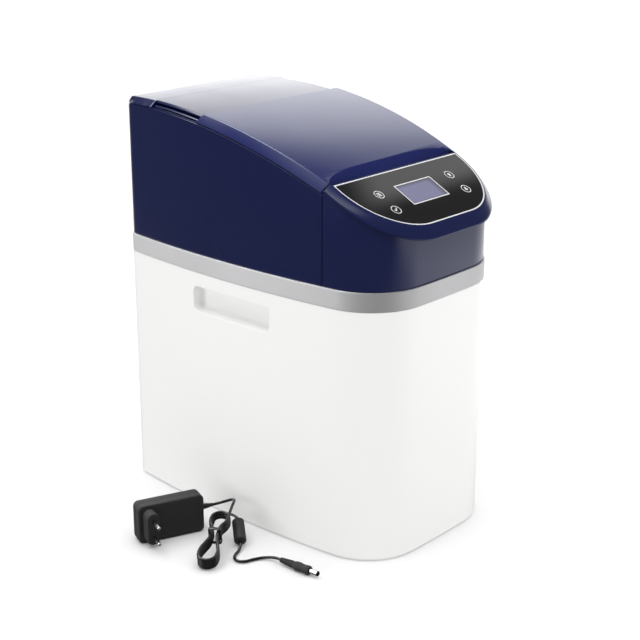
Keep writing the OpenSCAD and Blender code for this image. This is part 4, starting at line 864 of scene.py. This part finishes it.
class SOFTENER_OT_housing(bpy.types.Operator):
    """Build the control housing with its overhanging lip"""

    bl_idname = "softener.housing"
    bl_label = "Control housing"

    def execute(self, context):
        form = Form(context.scene)
        c = form.cabinet
        into_lip, edge_round = 1.5 * MM, 0.35 * MM
        wall = ring_wall(form, c.hood_inset, c.hood_inset + c.hood_wall, form.hood_z,
                         lambda y: form.under_lip(min(y, form.deck_y)) + into_lip)
        cut_away(wall, form.seam_y - form.seam_gap, keep_rear=False)
        tidy(wall)
        round_edges(wall, edge_round, 2, 60)
        piece("housing_shell", join(wall, self.lip(form), self.back(form)), navy_gloss(context.scene), CABINET,
              "navy_hood", "control_housing")
        return {"FINISHED"}

    def lip(self, form):
        """The lip around the panel: outlines from the recess over its flat nose to the underside, bridged."""
        p = form.panel
        nose = [(0.10, 0), (0.18, 0.03), (0.30, 0.11), (0.46, 0.25), (0.62, 0.40), (0.76, 0.54), (0.88, 0.67),
                (0.97, 0.79), (1.0, 0.88), (0.98, 0.95), (0.91, 1.0), (-0.4, 1.0)]
        sunk, ledge, clear = 2.4 * MM, 5 * MM, 0.15 * MM
        bm = bmesh.new()
        loops = [form.panel_line(bm, out, lambda y, d=down: form.deck(y) - d)
                 for out, down in ((-ledge, sunk), (clear, sunk), (clear, 0.2 * MM), (0.4 * MM, 0))]
        for o, f in nose:
            level = lambda y, f=f: (1 - f) * form.deck(y) + f * form.under_lip(y)
            loops.append(form.panel_line(bm, o * p.lip_out, level, side=max(o, 0) * form.lip_side))
        for a, b in zip(loops, loops[1:] + loops[:1]):
            bmesh.ops.bridge_loops(bm, edges=a + b)
        close_open_ends(bm)
        return bm

    def back(self, form):
        """The wall behind the panel, down to the housing's foot."""
        c, clear, edge_round = form.cabinet, 0.15 * MM, 0.3 * MM
        front, rear = form.panel_y + clear, form.deck_y
        foot = form.seam_y - form.seam_gap
        half = form.panel.width / 2 - 2.5 * MM
        edge = front + 0.75 * MM
        high, low = form.deck(front), form.deck(rear)
        shape = [(rear, low - 3 * MM), (edge, form.deck(edge)), (front, high), (front, high - 5 * MM),
                 (foot - c.hood_wall, high - 9 * MM), (foot - c.hood_wall, form.hood_z), (foot, form.hood_z),
                 (foot, low - 7 * MM), (rear, low - 4 * MM)]
        bm = bmesh.new()
        face = bm.faces.new([bm.verts.new((-half, y, z)) for y, z in shape])
        extrude(bm, [face], (2 * half, 0, 0))
        tidy(bm)
        round_edges(bm, edge_round, 2, 40)
        return bm


class SOFTENER_OT_panel(bpy.types.Operator):
    """Finish the control panel: gloss plate, display, printed lines and key signs"""

    bl_idname = "softener.panel"
    bl_label = "Control panel"

    def execute(self, context):
        form = Form(context.scene)
        p, tones = form.panel, context.scene.softener_finishes
        gloss = Finish("panel_gloss", tones.panel, 0.035, grain=600, bump=0.002, vary=0.3, spread=0.02, specular=0.6)
        key_gloss = Finish("key_gloss", tones.panel, 0.06, grain=600, bump=0.002, vary=0.3, spread=0.02, specular=0.6)
        dress("control_panel", gloss.material)
        for name in ("key_left_upper", "key_left_lower", "key_right_upper", "key_right_lower"):
            dress(name, key_gloss.material)
        self.display(form, tones)
        line = finish("printed_line", tones.line, 0.35, grain=2500, bump=0.02, vary=0.03)
        bm = bmesh.new()
        lift = lambda y: form.deck(y) - 0.18 * MM
        edges = form.panel_line(bm, -0.1 * MM, lift, True) + form.panel_line(bm, -0.1 * MM - p.line, lift, True)
        faces = bmesh.ops.bridge_loops(bm, edges=edges)["faces"]
        normal = form.on_panel().to_3x3() @ Vector((0, 0, 1))
        extrude(bm, faces, normal * 0.12 * MM)
        piece("panel_border", bm, line, CABINET, "panel_black")
        self.frame_line(form, line)
        self.key_signs(form, line)
        return {"FINISHED"}

    def display(self, form, tones):
        """Display window with painted shade along its rim, widest at the top and right, for the sunken window's shadow.
        """
        p = form.panel
        lcd = Finish("display_glass", tones.display, 0.16, grain=4000, bump=0.01, vary=0.05, spread=0.03, mottle=30)
        matrix = form.on_panel()
        across, up = matrix.to_3x3() @ Vector((1, 0, 0)), matrix.to_3x3() @ Vector((0, 1, 0))
        middle = matrix @ Vector((0, -p.display_down - p.display_h / 2, 0))
        # Painted shade: this darker colour is laid in bands inside the window's edges as the shadow of its sunken rim.
        dark = [0.075, 0.075, 0.105]
        for direction, half, wide in ((up, p.display_h / 2, 5 * MM), (across, p.display_w / 2, 9 * MM),
                                      (-up, p.display_h / 2, 1.5 * MM), (-across, p.display_w / 2, 1.5 * MM)):
            lcd.recolour(lcd.along(middle, direction, half - wide, half), dark)
        dress("lcd_glass", lcd.material)

    def frame_line(self, form, line):
        """Printed line around the display."""
        p = form.panel
        bm = bmesh.new()
        middle = -p.display_down - p.display_h / 2
        loops = []
        for grow in (0.1 * MM, 0.1 * MM + p.line):
            half_w, half_h = p.display_w / 2 + grow, p.display_h / 2 + grow
            verts = [bm.verts.new((sx * half_w, middle + sy * half_h, -0.18 * MM))
                     for sx, sy in ((-1, -1), (1, -1), (1, 1), (-1, 1))]
            loops += [bm.edges.new((verts[i], verts[(i + 1) % 4])) for i in range(4)]
        faces = bmesh.ops.bridge_loops(bm, edges=loops)["faces"]
        extrude(bm, faces, (0, 0, 0.1 * MM))
        piece("display_border", placed(bm, form.on_panel()), line, CABINET, "panel_black")

    def key_signs(self, form, line):
        """A ring and a plain sign on each key: bars, a tick, an up and a down arrow."""
        p = form.panel
        ring_in, ring_width, print_depth, print_height = 0.15 * MM, 0.85 * MM, 0.2 * MM, 0.1 * MM
        arrow = [(0, 3.0), (2.6, 0.2), (1.1, 0.2), (1.1, -2.8), (-1.1, -2.8), (-1.1, 0.2), (-2.6, 0.2)]
        bars = [[(-2.7, y - 0.55), (2.7, y - 0.55), (2.7, y + 0.55), (-2.7, y + 0.55)] for y in (-2.1, 0, 2.1)]
        tick = [[(-2.9, 0.1), (-1.0, -2.3), (3.0, 2.2), (2.1, 3.0), (-1.0, -0.5), (-2.0, 0.9)]]
        signs = {"key_lu": (-1, 0, bars), "key_ll": (-1, 1, tick), "key_ru": (1, 0, [arrow]),
                 "key_rl": (1, 1, [[(x, -y) for x, y in arrow]])}
        for body, (side, row, shapes) in signs.items():
            bm = bmesh.new()
            for r in (p.key_radius - ring_in, p.key_radius - ring_in - ring_width):
                bmesh.ops.create_circle(bm, segments=48, radius=r)
            faces = bmesh.ops.bridge_loops(bm, edges=list(bm.edges))["faces"]
            for shape in shapes:
                faces.append(bm.faces.new([bm.verts.new((x * MM, y * MM, 0)) for x, y in shape]))
            extrude(bm, faces, (0, 0, print_height))
            place = Matrix.Translation((side * p.key_x, -p.key_down - row * p.key_pitch, -print_depth))
            piece("sign_" + body, placed(bm, form.on_panel() @ place), line, body, "key_black")


def dress(node, material):
    """Gives a CAD node a finished material."""
    slots = NODES[node].data.materials
    slots.clear()
    slots.append(material)


class SOFTENER_OT_ports(bpy.types.Operator):
    """Build the threaded water ports and dress the other rear connections"""

    bl_idname = "softener.ports"
    bl_label = "Rear connections"

    def execute(self, context):
        grey = finish("port_grey", (0.20, 0.205, 0.21), 0.45, grain=1800, bump=0.06, vary=0.08)
        for name in ("inlet_port", "outlet_port"):
            lo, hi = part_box(name)
            self.port(name, lo, hi, grey)
        for name in ("drain_spigot", "overflow_elbow"):
            dress(name, grey)
        dress("dc_socket", adapter_black(context.scene))
        return {"FINISHED"}

    def port(self, name, lo, hi, material):
        """A pipe end with rings of thread in front of its collar, hollow from the mouth."""
        r, bore, span, pitch = 13.22 * MM, 9.5 * MM, hi.y - lo.y, 1.814 * MM
        root, collar_out, collar_width, floor = r - 1.15 * MM, r + 1.6 * MM, 5 * MM, 4 * MM
        chamfer, mouth = 0.5 * MM, 0.8 * MM
        collar = span - 21 * MM
        shoulder = collar + collar_width
        profile = [(0, floor), (bore, floor), (bore, span - mouth), (bore + mouth, span), (r - 1.4 * MM, span)]
        z = span
        while z - pitch > shoulder + 1.5 * MM:
            profile += [(root, z - 0.15 * pitch), (r, z - 0.45 * pitch), (r, z - 0.6 * pitch), (root, z - 0.9 * pitch)]
            z -= pitch
        profile += [(root, shoulder), (collar_out - chamfer, shoulder), (collar_out, shoulder - chamfer),
                    (collar_out, collar + chamfer), (collar_out - chamfer, collar), (r, collar), (r, chamfer),
                    (r - chamfer, 0), (0, 0)]
        middle = Vector(((lo.x + hi.x) / 2, lo.y, (lo.z + hi.z) / 2))
        piece(name.replace("_port", "_thread"), turned(profile, facing(middle, (0, 1, 0)), 64), material, CABINET,
              "port_grey", name)


class SOFTENER_OT_works(bpy.types.Operator):
    """Dress the tank, the valve, the brine side and the board inside"""

    bl_idname = "softener.works"
    bl_label = "Works inside"

    def execute(self, context):
        tones = context.scene.softener_finishes
        finishes = {
            ("tank_blue", (0.035, 0.13, 0.30), 0.45): ["resin_tank"],
            ("works_black", (0.014, 0.014, 0.015), 0.5): ["tank_base", "valve_body", "injector"],
            ("works_grey", (0.11, 0.11, 0.115), 0.5): ["lcd_frame", "motor_stand", "valve_cover", "brine_valve"],
            ("works_white", (0.74, 0.74, 0.72), 0.45): ["riser_tube", "lower_strainer", "upper_strainer", "brine_well",
                                                        "well_cap", "brine_pipe", "brine_tube", "turbine_cage"],
            ("gear_ivory", (0.66, 0.60, 0.45), 0.42): ["rotor_disc", "drive_gear", "pinion", "brine_float"],
            ("turbine_orange", (0.70, 0.20, 0.02), 0.4): ["flow_turbine"],
            ("seal_rubber", (0.012, 0.012, 0.012), 0.7): ["tank_seal"],
        }
        for (name, base, rough), nodes in finishes.items():
            material = finish(name, base, rough, grain=1600, bump=0.08, vary=0.08)
            for node in nodes:
                dress(node, material)
        beads = Finish("resin_beads", (0.36, 0.13, 0.02), 0.4, grain=1100, bump=0.9, vary=0.45, mottle=900)
        dress("resin_bed", beads.material)
        board = Finish("board_green", (0.012, 0.11, 0.035), 0.35, grain=700, bump=0.1, vary=0.2, mottle=220)
        dress("control_board", board.material)
        steel = finish("plated_steel", tones.metal, 0.32, grain=2200, bump=0.05, vary=0.06, metallic=1.0)
        for node in ("board_screws", "valve_screws", "valve_motor"):
            dress(node, steel)
        return {"FINISHED"}


class SOFTENER_OT_adapter(bpy.types.Operator):
    """Build the plug-in adapter with its plug block and pins"""

    bl_idname = "softener.adapter"
    bl_label = "Adapter"

    def execute(self, context):
        s = context.scene.softener_supply
        black = adapter_black(context.scene)
        place = adapter_frame()
        split, corner, seam_round = 0.38 * s.adapter_t, 6 * MM, 0.35 * MM
        shells = (("adapter_front_half", 0, split, 0, 1.6 * MM, "adapter_face"),
                  ("adapter_rear_half", split, s.adapter_t, s.adapter_t, 4.0 * MM, "adapter_back"))
        for name, y0, y1, face_y, rounding, node in shells:
            bm = rounded_box((s.adapter_l, y1 - y0, s.adapter_w), (s.adapter_l / 2, (y0 + y1) / 2, s.adapter_w / 2),
                             "Y", corner)
            round_edges(bm, rounding, 5, 60, lambda p, y=face_y: abs(p.y - y) < SPOT)
            round_edges(bm, seam_round, 2, 60)
            if face_y == 0:
                self.label(bm)
            piece(name, placed(bm, place), black, CABINET, "adapter_black", node)
        self.plug(context, s, black, place)
        return {"FINISHED"}

    def label(self, bm):
        """A shallow bare field where a rating plate would sit."""
        margin, slope, depth = 4.2 * MM, 0.25 * MM, 0.3 * MM
        front = max((f for f in bm.faces if f.normal.y < -0.99), key=lambda f: f.calc_area())
        bmesh.ops.inset_region(bm, faces=[front], thickness=margin, use_even_offset=True)
        bmesh.ops.inset_region(bm, faces=[front], thickness=slope, depth=-depth, use_even_offset=True)

    def plug(self, context, s, black, place):
        """The plug block with a rounded face, and two round pins with dark sleeves."""
        x, out, pitch, pin_r, bare = 12 * MM, 15 * MM, 19 * MM, 2.0 * MM, 9.6 * MM
        block = rounded_box((14 * MM, out, 37 * MM), (x, -out / 2, s.adapter_w / 2), "Y", 6.4 * MM, segments=10)
        round_edges(block, 1.4 * MM, 4, 60, lambda p: abs(p.y + out) < SPOT)
        piece("plug_foot", placed(block, place), black, CABINET, "adapter_black", "plug_block")
        tip = [(pin_r * math.cos(a), 16.5 * MM + pin_r * math.sin(a)) for a in quarter_turn(8)]
        profile = [(0, -1 * MM), (pin_r, -1 * MM), (pin_r, bare - 0.2 * MM), (pin_r - 0.15 * MM, bare),
                   (pin_r, bare + 0.2 * MM)] + tip
        pins = []
        for side in (-1, 1):
            root = place @ Vector((x, -out, s.adapter_w / 2 + side * pitch / 2))
            pins.append(turned(profile, facing(root, place.to_3x3() @ Vector((0, -1, 0))), 32))
        metal = Finish("pin_metal", context.scene.softener_finishes.metal, 0.22, grain=2500, bump=0.03, vary=0.04,
                       metallic=1.0)
        root = place @ Vector((x, -out, 0))
        sleeve = metal.along(root, place.to_3x3() @ Vector((0, 1, 0)), -bare - 0.05 * MM, 0.05 * MM - bare)
        metal.recolour(sleeve, context.scene.softener_finishes.adapter)
        plain = metal.nodes.new("ShaderNodeMath")
        plain.operation = "SUBTRACT"
        plain.inputs[0].default_value = 1
        metal.links.new(sleeve, plain.inputs[1])
        metal.links.new(plain.outputs[0], metal.shader.inputs["Metallic"])
        piece("plug_pins", join(*pins), metal.material, CABINET, "contact_metal", "contact_pins")


def hank_points(s):
    """Centre line of the hank in its own frame: runs and folds, one layer down per loop."""
    u0 = s.fold_radius + s.cord / 2
    u1 = s.hank_length - u0
    runs, folds = 7, 5
    r = s.fold_radius

    def drawn(f):
        q = f / WAIST_AT if f < WAIST_AT else (1 - f) / (1 - WAIST_AT)
        q = min(max(q * 1.5 - 0.25, 0), 1)
        return r - (r - s.waist) * (1 - math.cos(math.pi * q)) / 2

    def run(f, side, layer):
        return Vector((u0 + (u1 - u0) * f, side * drawn(f), layer * s.layer))

    def fold(u, start, layer):
        turns = [math.radians(start - 180 * i / folds) for i in range(1, folds)]
        return [Vector((u + r * math.cos(a), r * math.sin(a), layer * s.layer)) for a in turns]

    points = [Vector((u1 + s.cord, -r, s.loops * s.layer))]
    for k in range(s.loops):
        layer = s.loops - k - 1
        points += [run(1 - i / runs, -1, layer + 1 - i / runs) for i in range(runs + 1)]
        points += fold(u0, 270, layer)
        points += [run(i / runs, 1, layer) for i in range(runs + 1)]
        if k < s.loops - 1:
            points += fold(u1, 90, layer)
    points.append(Vector((u1 + s.cord, r, 0)))
    return points


def hank_frame():
    """Matrix of the hank: X along it, leaning on its way up to the adapter."""
    place = Matrix.Translation((-226 * MM, -52.4 * MM, 2.2 * MM))
    return place @ Matrix.Rotation(math.radians(32), 4, "Z") @ Matrix.Rotation(math.radians(-12), 4, "Y")


class SOFTENER_OT_lead(bpy.types.Operator):
    """Lay the supply lead with its hank, tie, ferrite sleeve and plug"""

    bl_idname = "softener.lead"
    bl_label = "Supply lead"

    def execute(self, context):
        s = context.scene.softener_supply
        tones = context.scene.softener_finishes
        black = adapter_black(context.scene)
        sheath = finish("lead_sheath", tones.cord, 0.26, grain=3000, bump=0.03, vary=0.12)
        place, hank = adapter_frame(), hank_frame()
        out = place.to_3x3() @ Vector((1, 0, 0))
        relief_root = place @ Vector((s.adapter_l, s.adapter_t / 2, 0.55 * s.adapter_w))
        start = relief_root + out * RELIEF_LENGTH
        ferrite_low = Vector((-164, -43, 7)) * MM
        ferrite_dir = Vector((21, 25, 13)).normalized()
        ferrite_top = ferrite_low + ferrite_dir * s.ferrite_l
        plug_at = Vector((-161.5 * MM, -101 * MM, s.plug_d / 2))
        plug_dir = Vector((4, -55, 0)).normalized()
        hank_dir = hank.to_3x3() @ Vector((1, 0, 0))
        loops = [hank @ p for p in hank_points(s)]
        lead = [(-137.5, 13.5, 26), (-134, 7, 29), (-133.5, 0, 32.5), (-136.5, -6.5, 35.5), (-141, -11, 36.8),
                (-149.5, -16.2, 35.3)]
        link = [(-157, 0.2, 20), (-149, -2, 21), (-144.3, -8, 21), (-143.3, -15, 20.2)]
        tail = [(-174, -50, 2.2), (-182, -53, 1.8), (-188, -58, 1.8), (-190, -65, 1.8), (-186, -71, 1.8),
                (-179, -74, 1.8), (-172, -77, 1.8), (-166, -82, 2.4), (-162.5, -89, 3.6)]
        in_mm = lambda points: [Vector(p) * MM for p in points]
        route = ([start, start + out * s.cord] + in_mm(lead) + [loops[0] + hank_dir * s.cord] + loops
                 + [loops[-1] + hank_dir * s.cord] + in_mm(link)
                 + [ferrite_top + ferrite_dir * s.cord, ferrite_top, ferrite_low, ferrite_low - ferrite_dir * s.cord]
                 + in_mm(tail) + [plug_at - plug_dir * s.cord, plug_at])
        cord = self.curve(route, s.cord, sheath)
        relief = self.relief(relief_root, out, s, black)
        sleeve = self.sleeve(ferrite_low, ferrite_dir, s, black)
        plug, barrel = self.plug(plug_at, plug_dir, s, black, tones)
        tie = self.tie(hank, s, sheath)
        return {"FINISHED"}

    def curve(self, route, diameter, material):
        """One smooth open curve through the route's points."""
        data = bpy.data.curves.new("supply_lead", "CURVE")
        data.dimensions = "3D"
        data.bevel_depth = diameter / 2
        data.bevel_resolution = 4
        data.resolution_u = 8
        data.use_fill_caps = True
        spline = data.splines.new("BEZIER")
        spline.bezier_points.add(len(route) - 1)
        for point, co in zip(spline.bezier_points, route):
            point.co = co
            point.handle_left_type = point.handle_right_type = "AUTO"
        cord = bpy.data.objects.new("supply_lead", data)
        bpy.context.scene.collection.objects.link(cord)
        data.materials.append(material)
        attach(cord, CABINET)
        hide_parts("cord_lead", "cord_hank", "cord_link", "cord_tail")
        return cord

    def measure(self, cord):
        """Length of the lead's centre line."""
        return cord.data.splines[0].calc_length()

    def relief(self, root, out, s, material):
        """Ribbed tapered sleeve where the lead leaves the adapter."""
        profile = [(0, -1 * MM), (3.9 * MM, -1 * MM), (3.9 * MM, 0.6 * MM)]
        for i in range(5):
            z, r = (1.0 + 2.5 * i) * MM, (3.6 - 0.34 * i) * MM
            profile += [(r - 0.7 * MM, z), (r - 0.7 * MM, z + 0.8 * MM), (r, z + 1.1 * MM), (r, z + 2.1 * MM)]
        profile += [(s.cord / 2 + 0.5 * MM, RELIEF_LENGTH - 0.4 * MM), (s.cord / 2 + 0.1 * MM, RELIEF_LENGTH),
                    (0, RELIEF_LENGTH)]
        return piece("lead_relief", turned(profile, facing(root, out), 40), material, CABINET, "cord_black",
                     "strain_relief")

    def sleeve(self, low, direction, s, material):
        """Moulded ferrite sleeve with rounded ends."""
        r, long, edge = s.ferrite_d / 2, s.ferrite_l, 1.8 * MM
        bend = [(r - edge + edge * math.sin(a), edge - edge * math.cos(a)) for a in quarter_turn(6)]
        profile = [(0, 0)] + bend + [(q, long - z) for q, z in reversed(bend)] + [(0, long)]
        return piece("ferrite_sleeve", turned(profile, facing(low, direction), 48), material, CABINET, "adapter_black",
                     "ferrite")

    def plug(self, at, direction, s, material, tones):
        """Moulded plug: ribbed relief, waisted body and hollow barrel with a dark tip."""
        r = s.plug_d / 2
        profile = [(0, 0), (2.1 * MM, 0)]
        for i in range(5):
            z, q = (0.6 + 3.4 * i) * MM, (2.9 + 0.28 * i) * MM
            profile += [(q - 0.8 * MM, z), (q, z + 0.3 * MM), (q, z + 2.2 * MM), (q - 0.6 * MM, z + 2.5 * MM)]
        shape = [(1.5, 18), (0.5, 20), (0, 23), (0, 27), (0.45, 29), (0.45, 34), (0, 36), (0, 39), (0.7, 40)]
        profile += [(r - q * MM, z * MM) for q, z in shape] + [(0, PLUG_LENGTH)]
        body = piece("lead_plug", turned(profile, facing(at, direction), 48), material, CABINET, "adapter_black",
                     "dc_plug")
        root = at + direction * PLUG_LENGTH
        shape = [(0, -1), (2.75, -1), (2.75, 10.6), (2.35, 11), (1.25, 11), (1.25, 1.5), (0, 1.5)]
        bright = Finish("barrel_metal", tones.metal, 0.2, grain=2500, bump=0.03, vary=0.04, metallic=1.0)
        tip = bright.along(root, direction, 9.6 * MM, 9.7 * MM)
        bright.recolour(tip, tones.adapter)
        barrel = piece("plug_barrel", turned([(q * MM, z * MM) for q, z in shape], facing(root, direction), 40),
                       bright.material, CABINET, "contact_metal", "dc_barrel")
        return body, barrel

    def tie(self, hank, s, material):
        """Flat tie around the hank's waist."""
        clear, wall, width, corner, edge_round = 0.35 * MM, 1.2 * MM, 4 * MM, 1.4 * MM, 0.4 * MM
        u0 = s.fold_radius + s.cord / 2
        u = u0 + (s.hank_length - 2 * u0) * WAIST_AT
        half = s.waist + s.cord / 2 + clear
        low, high = -s.cord / 2 - clear, (s.loops - 0.2) * s.layer + s.cord / 2 + clear
        middle = (u, 0, (low + high) / 2)
        outer = rounded_box((width, 2 * half + 2 * wall, high - low + 2 * wall), middle, "X", corner + 1 * MM)
        inner = rounded_box((2 * width, 2 * half, high - low), middle, "X", corner)
        bm = carve(outer, [inner])
        round_edges(bm, edge_round, 2, 60)
        return piece("hank_band", placed(bm, hank), material, CABINET, "cord_black", "hank_tie")


class Wiring:
    """The nodes and links of a shader tree, with the sums and ramps that the stage is made of."""

    def __init__(self, tree):
        self.nodes, self.links = tree.nodes, tree.links

    def add(self, kind):
        """A new shader node."""
        return self.nodes.new("ShaderNode" + kind)

    def ramp(self, value, start, end):
        """Value that rises smoothly from 0 to 1 between two limits."""
        node = self.add("MapRange")
        node.interpolation_type = "SMOOTHSTEP"
        node.inputs["From Min"].default_value = start
        node.inputs["From Max"].default_value = end
        self.links.new(value, node.inputs["Value"])
        return node.outputs["Result"]

    def sum_up(self, *terms):
        """Sum of terms, each a socket times another socket or number."""
        total = 0.0
        for a, b in terms:
            node = self.add("Math")
            node.operation = "MULTIPLY_ADD"
            for socket, value in zip(node.inputs, (a, b, total)):
                if isinstance(value, bpy.types.NodeSocket):
                    self.links.new(value, socket)
                else:
                    socket.default_value = value
            total = node.outputs[0]
        return total


class SOFTENER_OT_stage(bpy.types.Operator):
    """Set up the floor, the soft light and the camera"""

    bl_idname = "softener.stage"
    bl_label = "Stage"

    def execute(self, context):
        scene = context.scene
        scene.view_settings.view_transform = "Standard"
        self.floor()
        self.world(scene)
        self.lamp(scene, "light_left", (-2.0, 0.5, 0.5), (0, 0, 0.15), (1.2, 0.8), 3.8).visible_glossy = False
        self.lamp(scene, "light_front", (0.6, -2.0, 0.5), (0, 0, 0.15), (1.2, 0.8), 3.4).visible_glossy = False
        self.shine(scene, "light_shine", (-1.75, 1.1, 0.7), (0, 0, 0.2), (1.6, 0.9), 5.4, SHINY)
        sky = bpy.data.lights.new("light_top", "SUN")
        sky.energy, sky.angle = 2.6, math.radians(80)
        top = bpy.data.objects.new("light_top", sky)
        top.visible_glossy = False
        scene.collection.objects.link(top)
        self.camera(scene)
        return {"FINISHED"}

    def lamp(self, scene, name, at, aim, size, radiance):
        """A soft lamp that the camera doesn't see."""
        data = bpy.data.lights.new(name, "AREA")
        data.shape = "RECTANGLE"
        data.size, data.size_y = size
        data.energy = radiance * math.pi * size[0] * size[1]
        lamp = bpy.data.objects.new(name, data)
        lamp.location = at
        lamp.rotation_euler = (Vector(aim) - Vector(at)).to_track_quat("-Z", "Y").to_euler()
        lamp.visible_camera = False
        scene.collection.objects.link(lamp)
        return lamp

    def shine(self, scene, name, at, aim, size, radiance, pieces):
        """A lamp that some pieces mirror and that lights nothing else."""
        lamp = self.lamp(scene, name, at, aim, size, radiance)
        lamp.data.diffuse_factor = 0
        lit = bpy.data.collections.new(name)
        for piece_name in pieces:
            if piece_name in bpy.data.objects:
                lit.objects.link(bpy.data.objects[piece_name])
        lamp.light_linking.receiver_collection = lit

    def floor(self):
        """Pale floor that keeps the object's shadow, and grows darker to the left in mirrored views."""
        half_size, below = 9, 0.4 * MM
        bm = bmesh.new()
        bmesh.ops.create_grid(bm, x_segments=1, y_segments=1, size=half_size)
        bmesh.ops.translate(bm, verts=bm.verts, vec=(0, 0, -below))
        floor = as_object("stage_floor", bm)
        material = bpy.data.materials.new("floor_white")
        material.use_nodes = True
        w = Wiring(material.node_tree)
        shader = w.nodes["Principled BSDF"]
        shader.inputs["Roughness"].default_value = 0.7
        shader.inputs["Specular IOR Level"].default_value = 0.2
        shader.inputs["Emission Color"].default_value = (1, 1, 1, 1)
        path = w.add("LightPath")
        seen = path.outputs["Is Camera Ray"]
        w.links.new(w.sum_up((seen, 0.66), (1.0, 0.20)), shader.inputs["Base Color"])
        w.links.new(w.sum_up((seen, -0.62), (1.0, 0.62)), shader.inputs["Emission Strength"])
        place, split = w.add("TexCoord"), w.add("SeparateXYZ")
        w.links.new(place.outputs["Object"], split.inputs["Vector"])
        side = w.ramp(split.outputs["X"], -0.35, 0.65)
        glow, mix = w.add("Emission"), w.add("MixShader")
        w.links.new(w.sum_up((side, 1.15), (1.0, 0.12)), glow.inputs["Strength"])
        w.links.new(path.outputs["Is Glossy Ray"], mix.inputs["Fac"])
        w.links.new(shader.outputs["BSDF"], mix.inputs[1])
        w.links.new(glow.outputs["Emission"], mix.inputs[2])
        w.links.new(mix.outputs["Shader"], w.nodes["Material Output"].inputs["Surface"])
        floor.data.materials.append(material)

    def world(self, scene):
        """Surroundings: white to the camera, even in diffuse light, a soft box and bright strips in mirrored views."""
        level, dim, strip_light, patch_light = 0.4, 0.15, 8.0, 2.6
        world = bpy.data.worlds.new("studio")
        world.use_nodes = True
        scene.world = world
        w = Wiring(world.node_tree)
        path, place, split = (w.add(kind) for kind in ("LightPath", "TexCoord", "SeparateXYZ"))
        w.links.new(place.outputs["Generated"], split.inputs["Vector"])
        x, y, z = (split.outputs[axis] for axis in "XYZ")
        beside = w.ramp(w.sum_up((x, 1.0), (z, -1.15)), -0.02, 0.02)
        behind = w.ramp(w.sum_up((y, 1.0), (z, -0.228)), -0.008, 0.008)
        deep = w.ramp(w.sum_up((y, 1.0), (z, -0.6)), -0.05, 0.15)
        ceiling = w.sum_up((deep, 1.22), (1.0, 0.86))
        corner = w.sum_up((beside, behind))
        strip = w.sum_up((w.ramp(x, -0.36, -0.16), w.ramp(x, 0.5, 0.25)))
        strip = w.sum_up((strip, w.ramp(y, 0.05, 0.30)))
        overhead = w.sum_up((w.ramp(z, 0.69, 0.76), strip))
        above = w.sum_up((w.ramp(z, 0.80, 0.90), w.ramp(x, -0.10, -0.36)))
        mirrored = w.sum_up((corner, ceiling), (overhead, strip_light), (above, patch_light), (1.0, dim - level))
        strength = w.sum_up((path.outputs["Is Camera Ray"], 1 - level),
                            (path.outputs["Is Transmission Ray"], 1 - level),
                            (path.outputs["Is Glossy Ray"], mirrored), (1.0, level))
        background = w.nodes["Background"]
        background.inputs["Color"].default_value = (1, 1, 1, 1)
        w.links.new(strength, background.inputs["Strength"])

    def camera(self, scene):
        """Camera at the photograph's angle."""
        data = bpy.data.cameras.new("camera")
        data.lens, data.sensor_width = 80.57, 36
        data.shift_x, data.shift_y = 0.0136, -0.0122
        camera = bpy.data.objects.new("camera", data)
        at = (-1.1538, -1.0406, 0.7499)
        right = Vector((0.6695, -0.7428, -0.0011))
        up = Vector((0.2401, 0.215, 0.9466))
        back = Vector((-0.703, -0.634, 0.3223))
        turn = Matrix((right, up, back)).transposed().to_4x4()
        camera.matrix_world = Matrix.Translation(at) @ turn
        scene.collection.objects.link(camera)
        scene.camera = camera


class SOFTENER_PT_panel(bpy.types.Panel):
    """Sizes, finishes and the steps that build the softener"""

    bl_idname = "SOFTENER_PT_panel"
    bl_label = "Water softener"
    bl_space_type = "VIEW_3D"
    bl_region_type = "UI"
    bl_category = "Softener"

    def draw(self, context):
        for name in GROUPS:
            group, box = getattr(context.scene, name), self.layout.box()
            for key in group.__annotations__:
                box.prop(group, key)
        for step in STEPS:
            self.layout.operator(step.bl_idname)


STEPS = (SOFTENER_OT_lead, SOFTENER_OT_adapter, SOFTENER_OT_body, SOFTENER_OT_belt, SOFTENER_OT_hood, SOFTENER_OT_lid,
         SOFTENER_OT_housing, SOFTENER_OT_panel, SOFTENER_OT_ports, SOFTENER_OT_works, SOFTENER_OT_stage)
GROUPS = {"softener_cabinet": CabinetSizes, "softener_lid": LidSizes, "softener_panel": PanelSizes,
          "softener_supply": SupplySizes, "softener_finishes": Finishes}


def register():
    """Registers the groups, the steps and the panel."""
    for name, group in GROUPS.items():
        bpy.utils.register_class(group)
        setattr(bpy.types.Scene, name, PointerProperty(type=group))
    for cls in STEPS + (SOFTENER_PT_panel,):
        bpy.utils.register_class(cls)


def unregister():
    """Takes the panel, the steps and the groups away again."""
    for cls in reversed(STEPS + (SOFTENER_PT_panel,)):
        bpy.utils.unregister_class(cls)
    for name, group in GROUPS.items():
        delattr(bpy.types.Scene, name)
        bpy.utils.unregister_class(group)


def main():
    """Builds the softener step by step."""
    register()
    bpy.ops.softener.lead()
    bpy.ops.softener.adapter()
    bpy.ops.softener.body()
    bpy.ops.softener.belt()
    bpy.ops.softener.hood()
    bpy.ops.softener.lid()
    bpy.ops.softener.housing()
    bpy.ops.softener.panel()
    bpy.ops.softener.ports()
    bpy.ops.softener.works()
    bpy.ops.softener.stage()


if __name__ == "__main__":
    main()
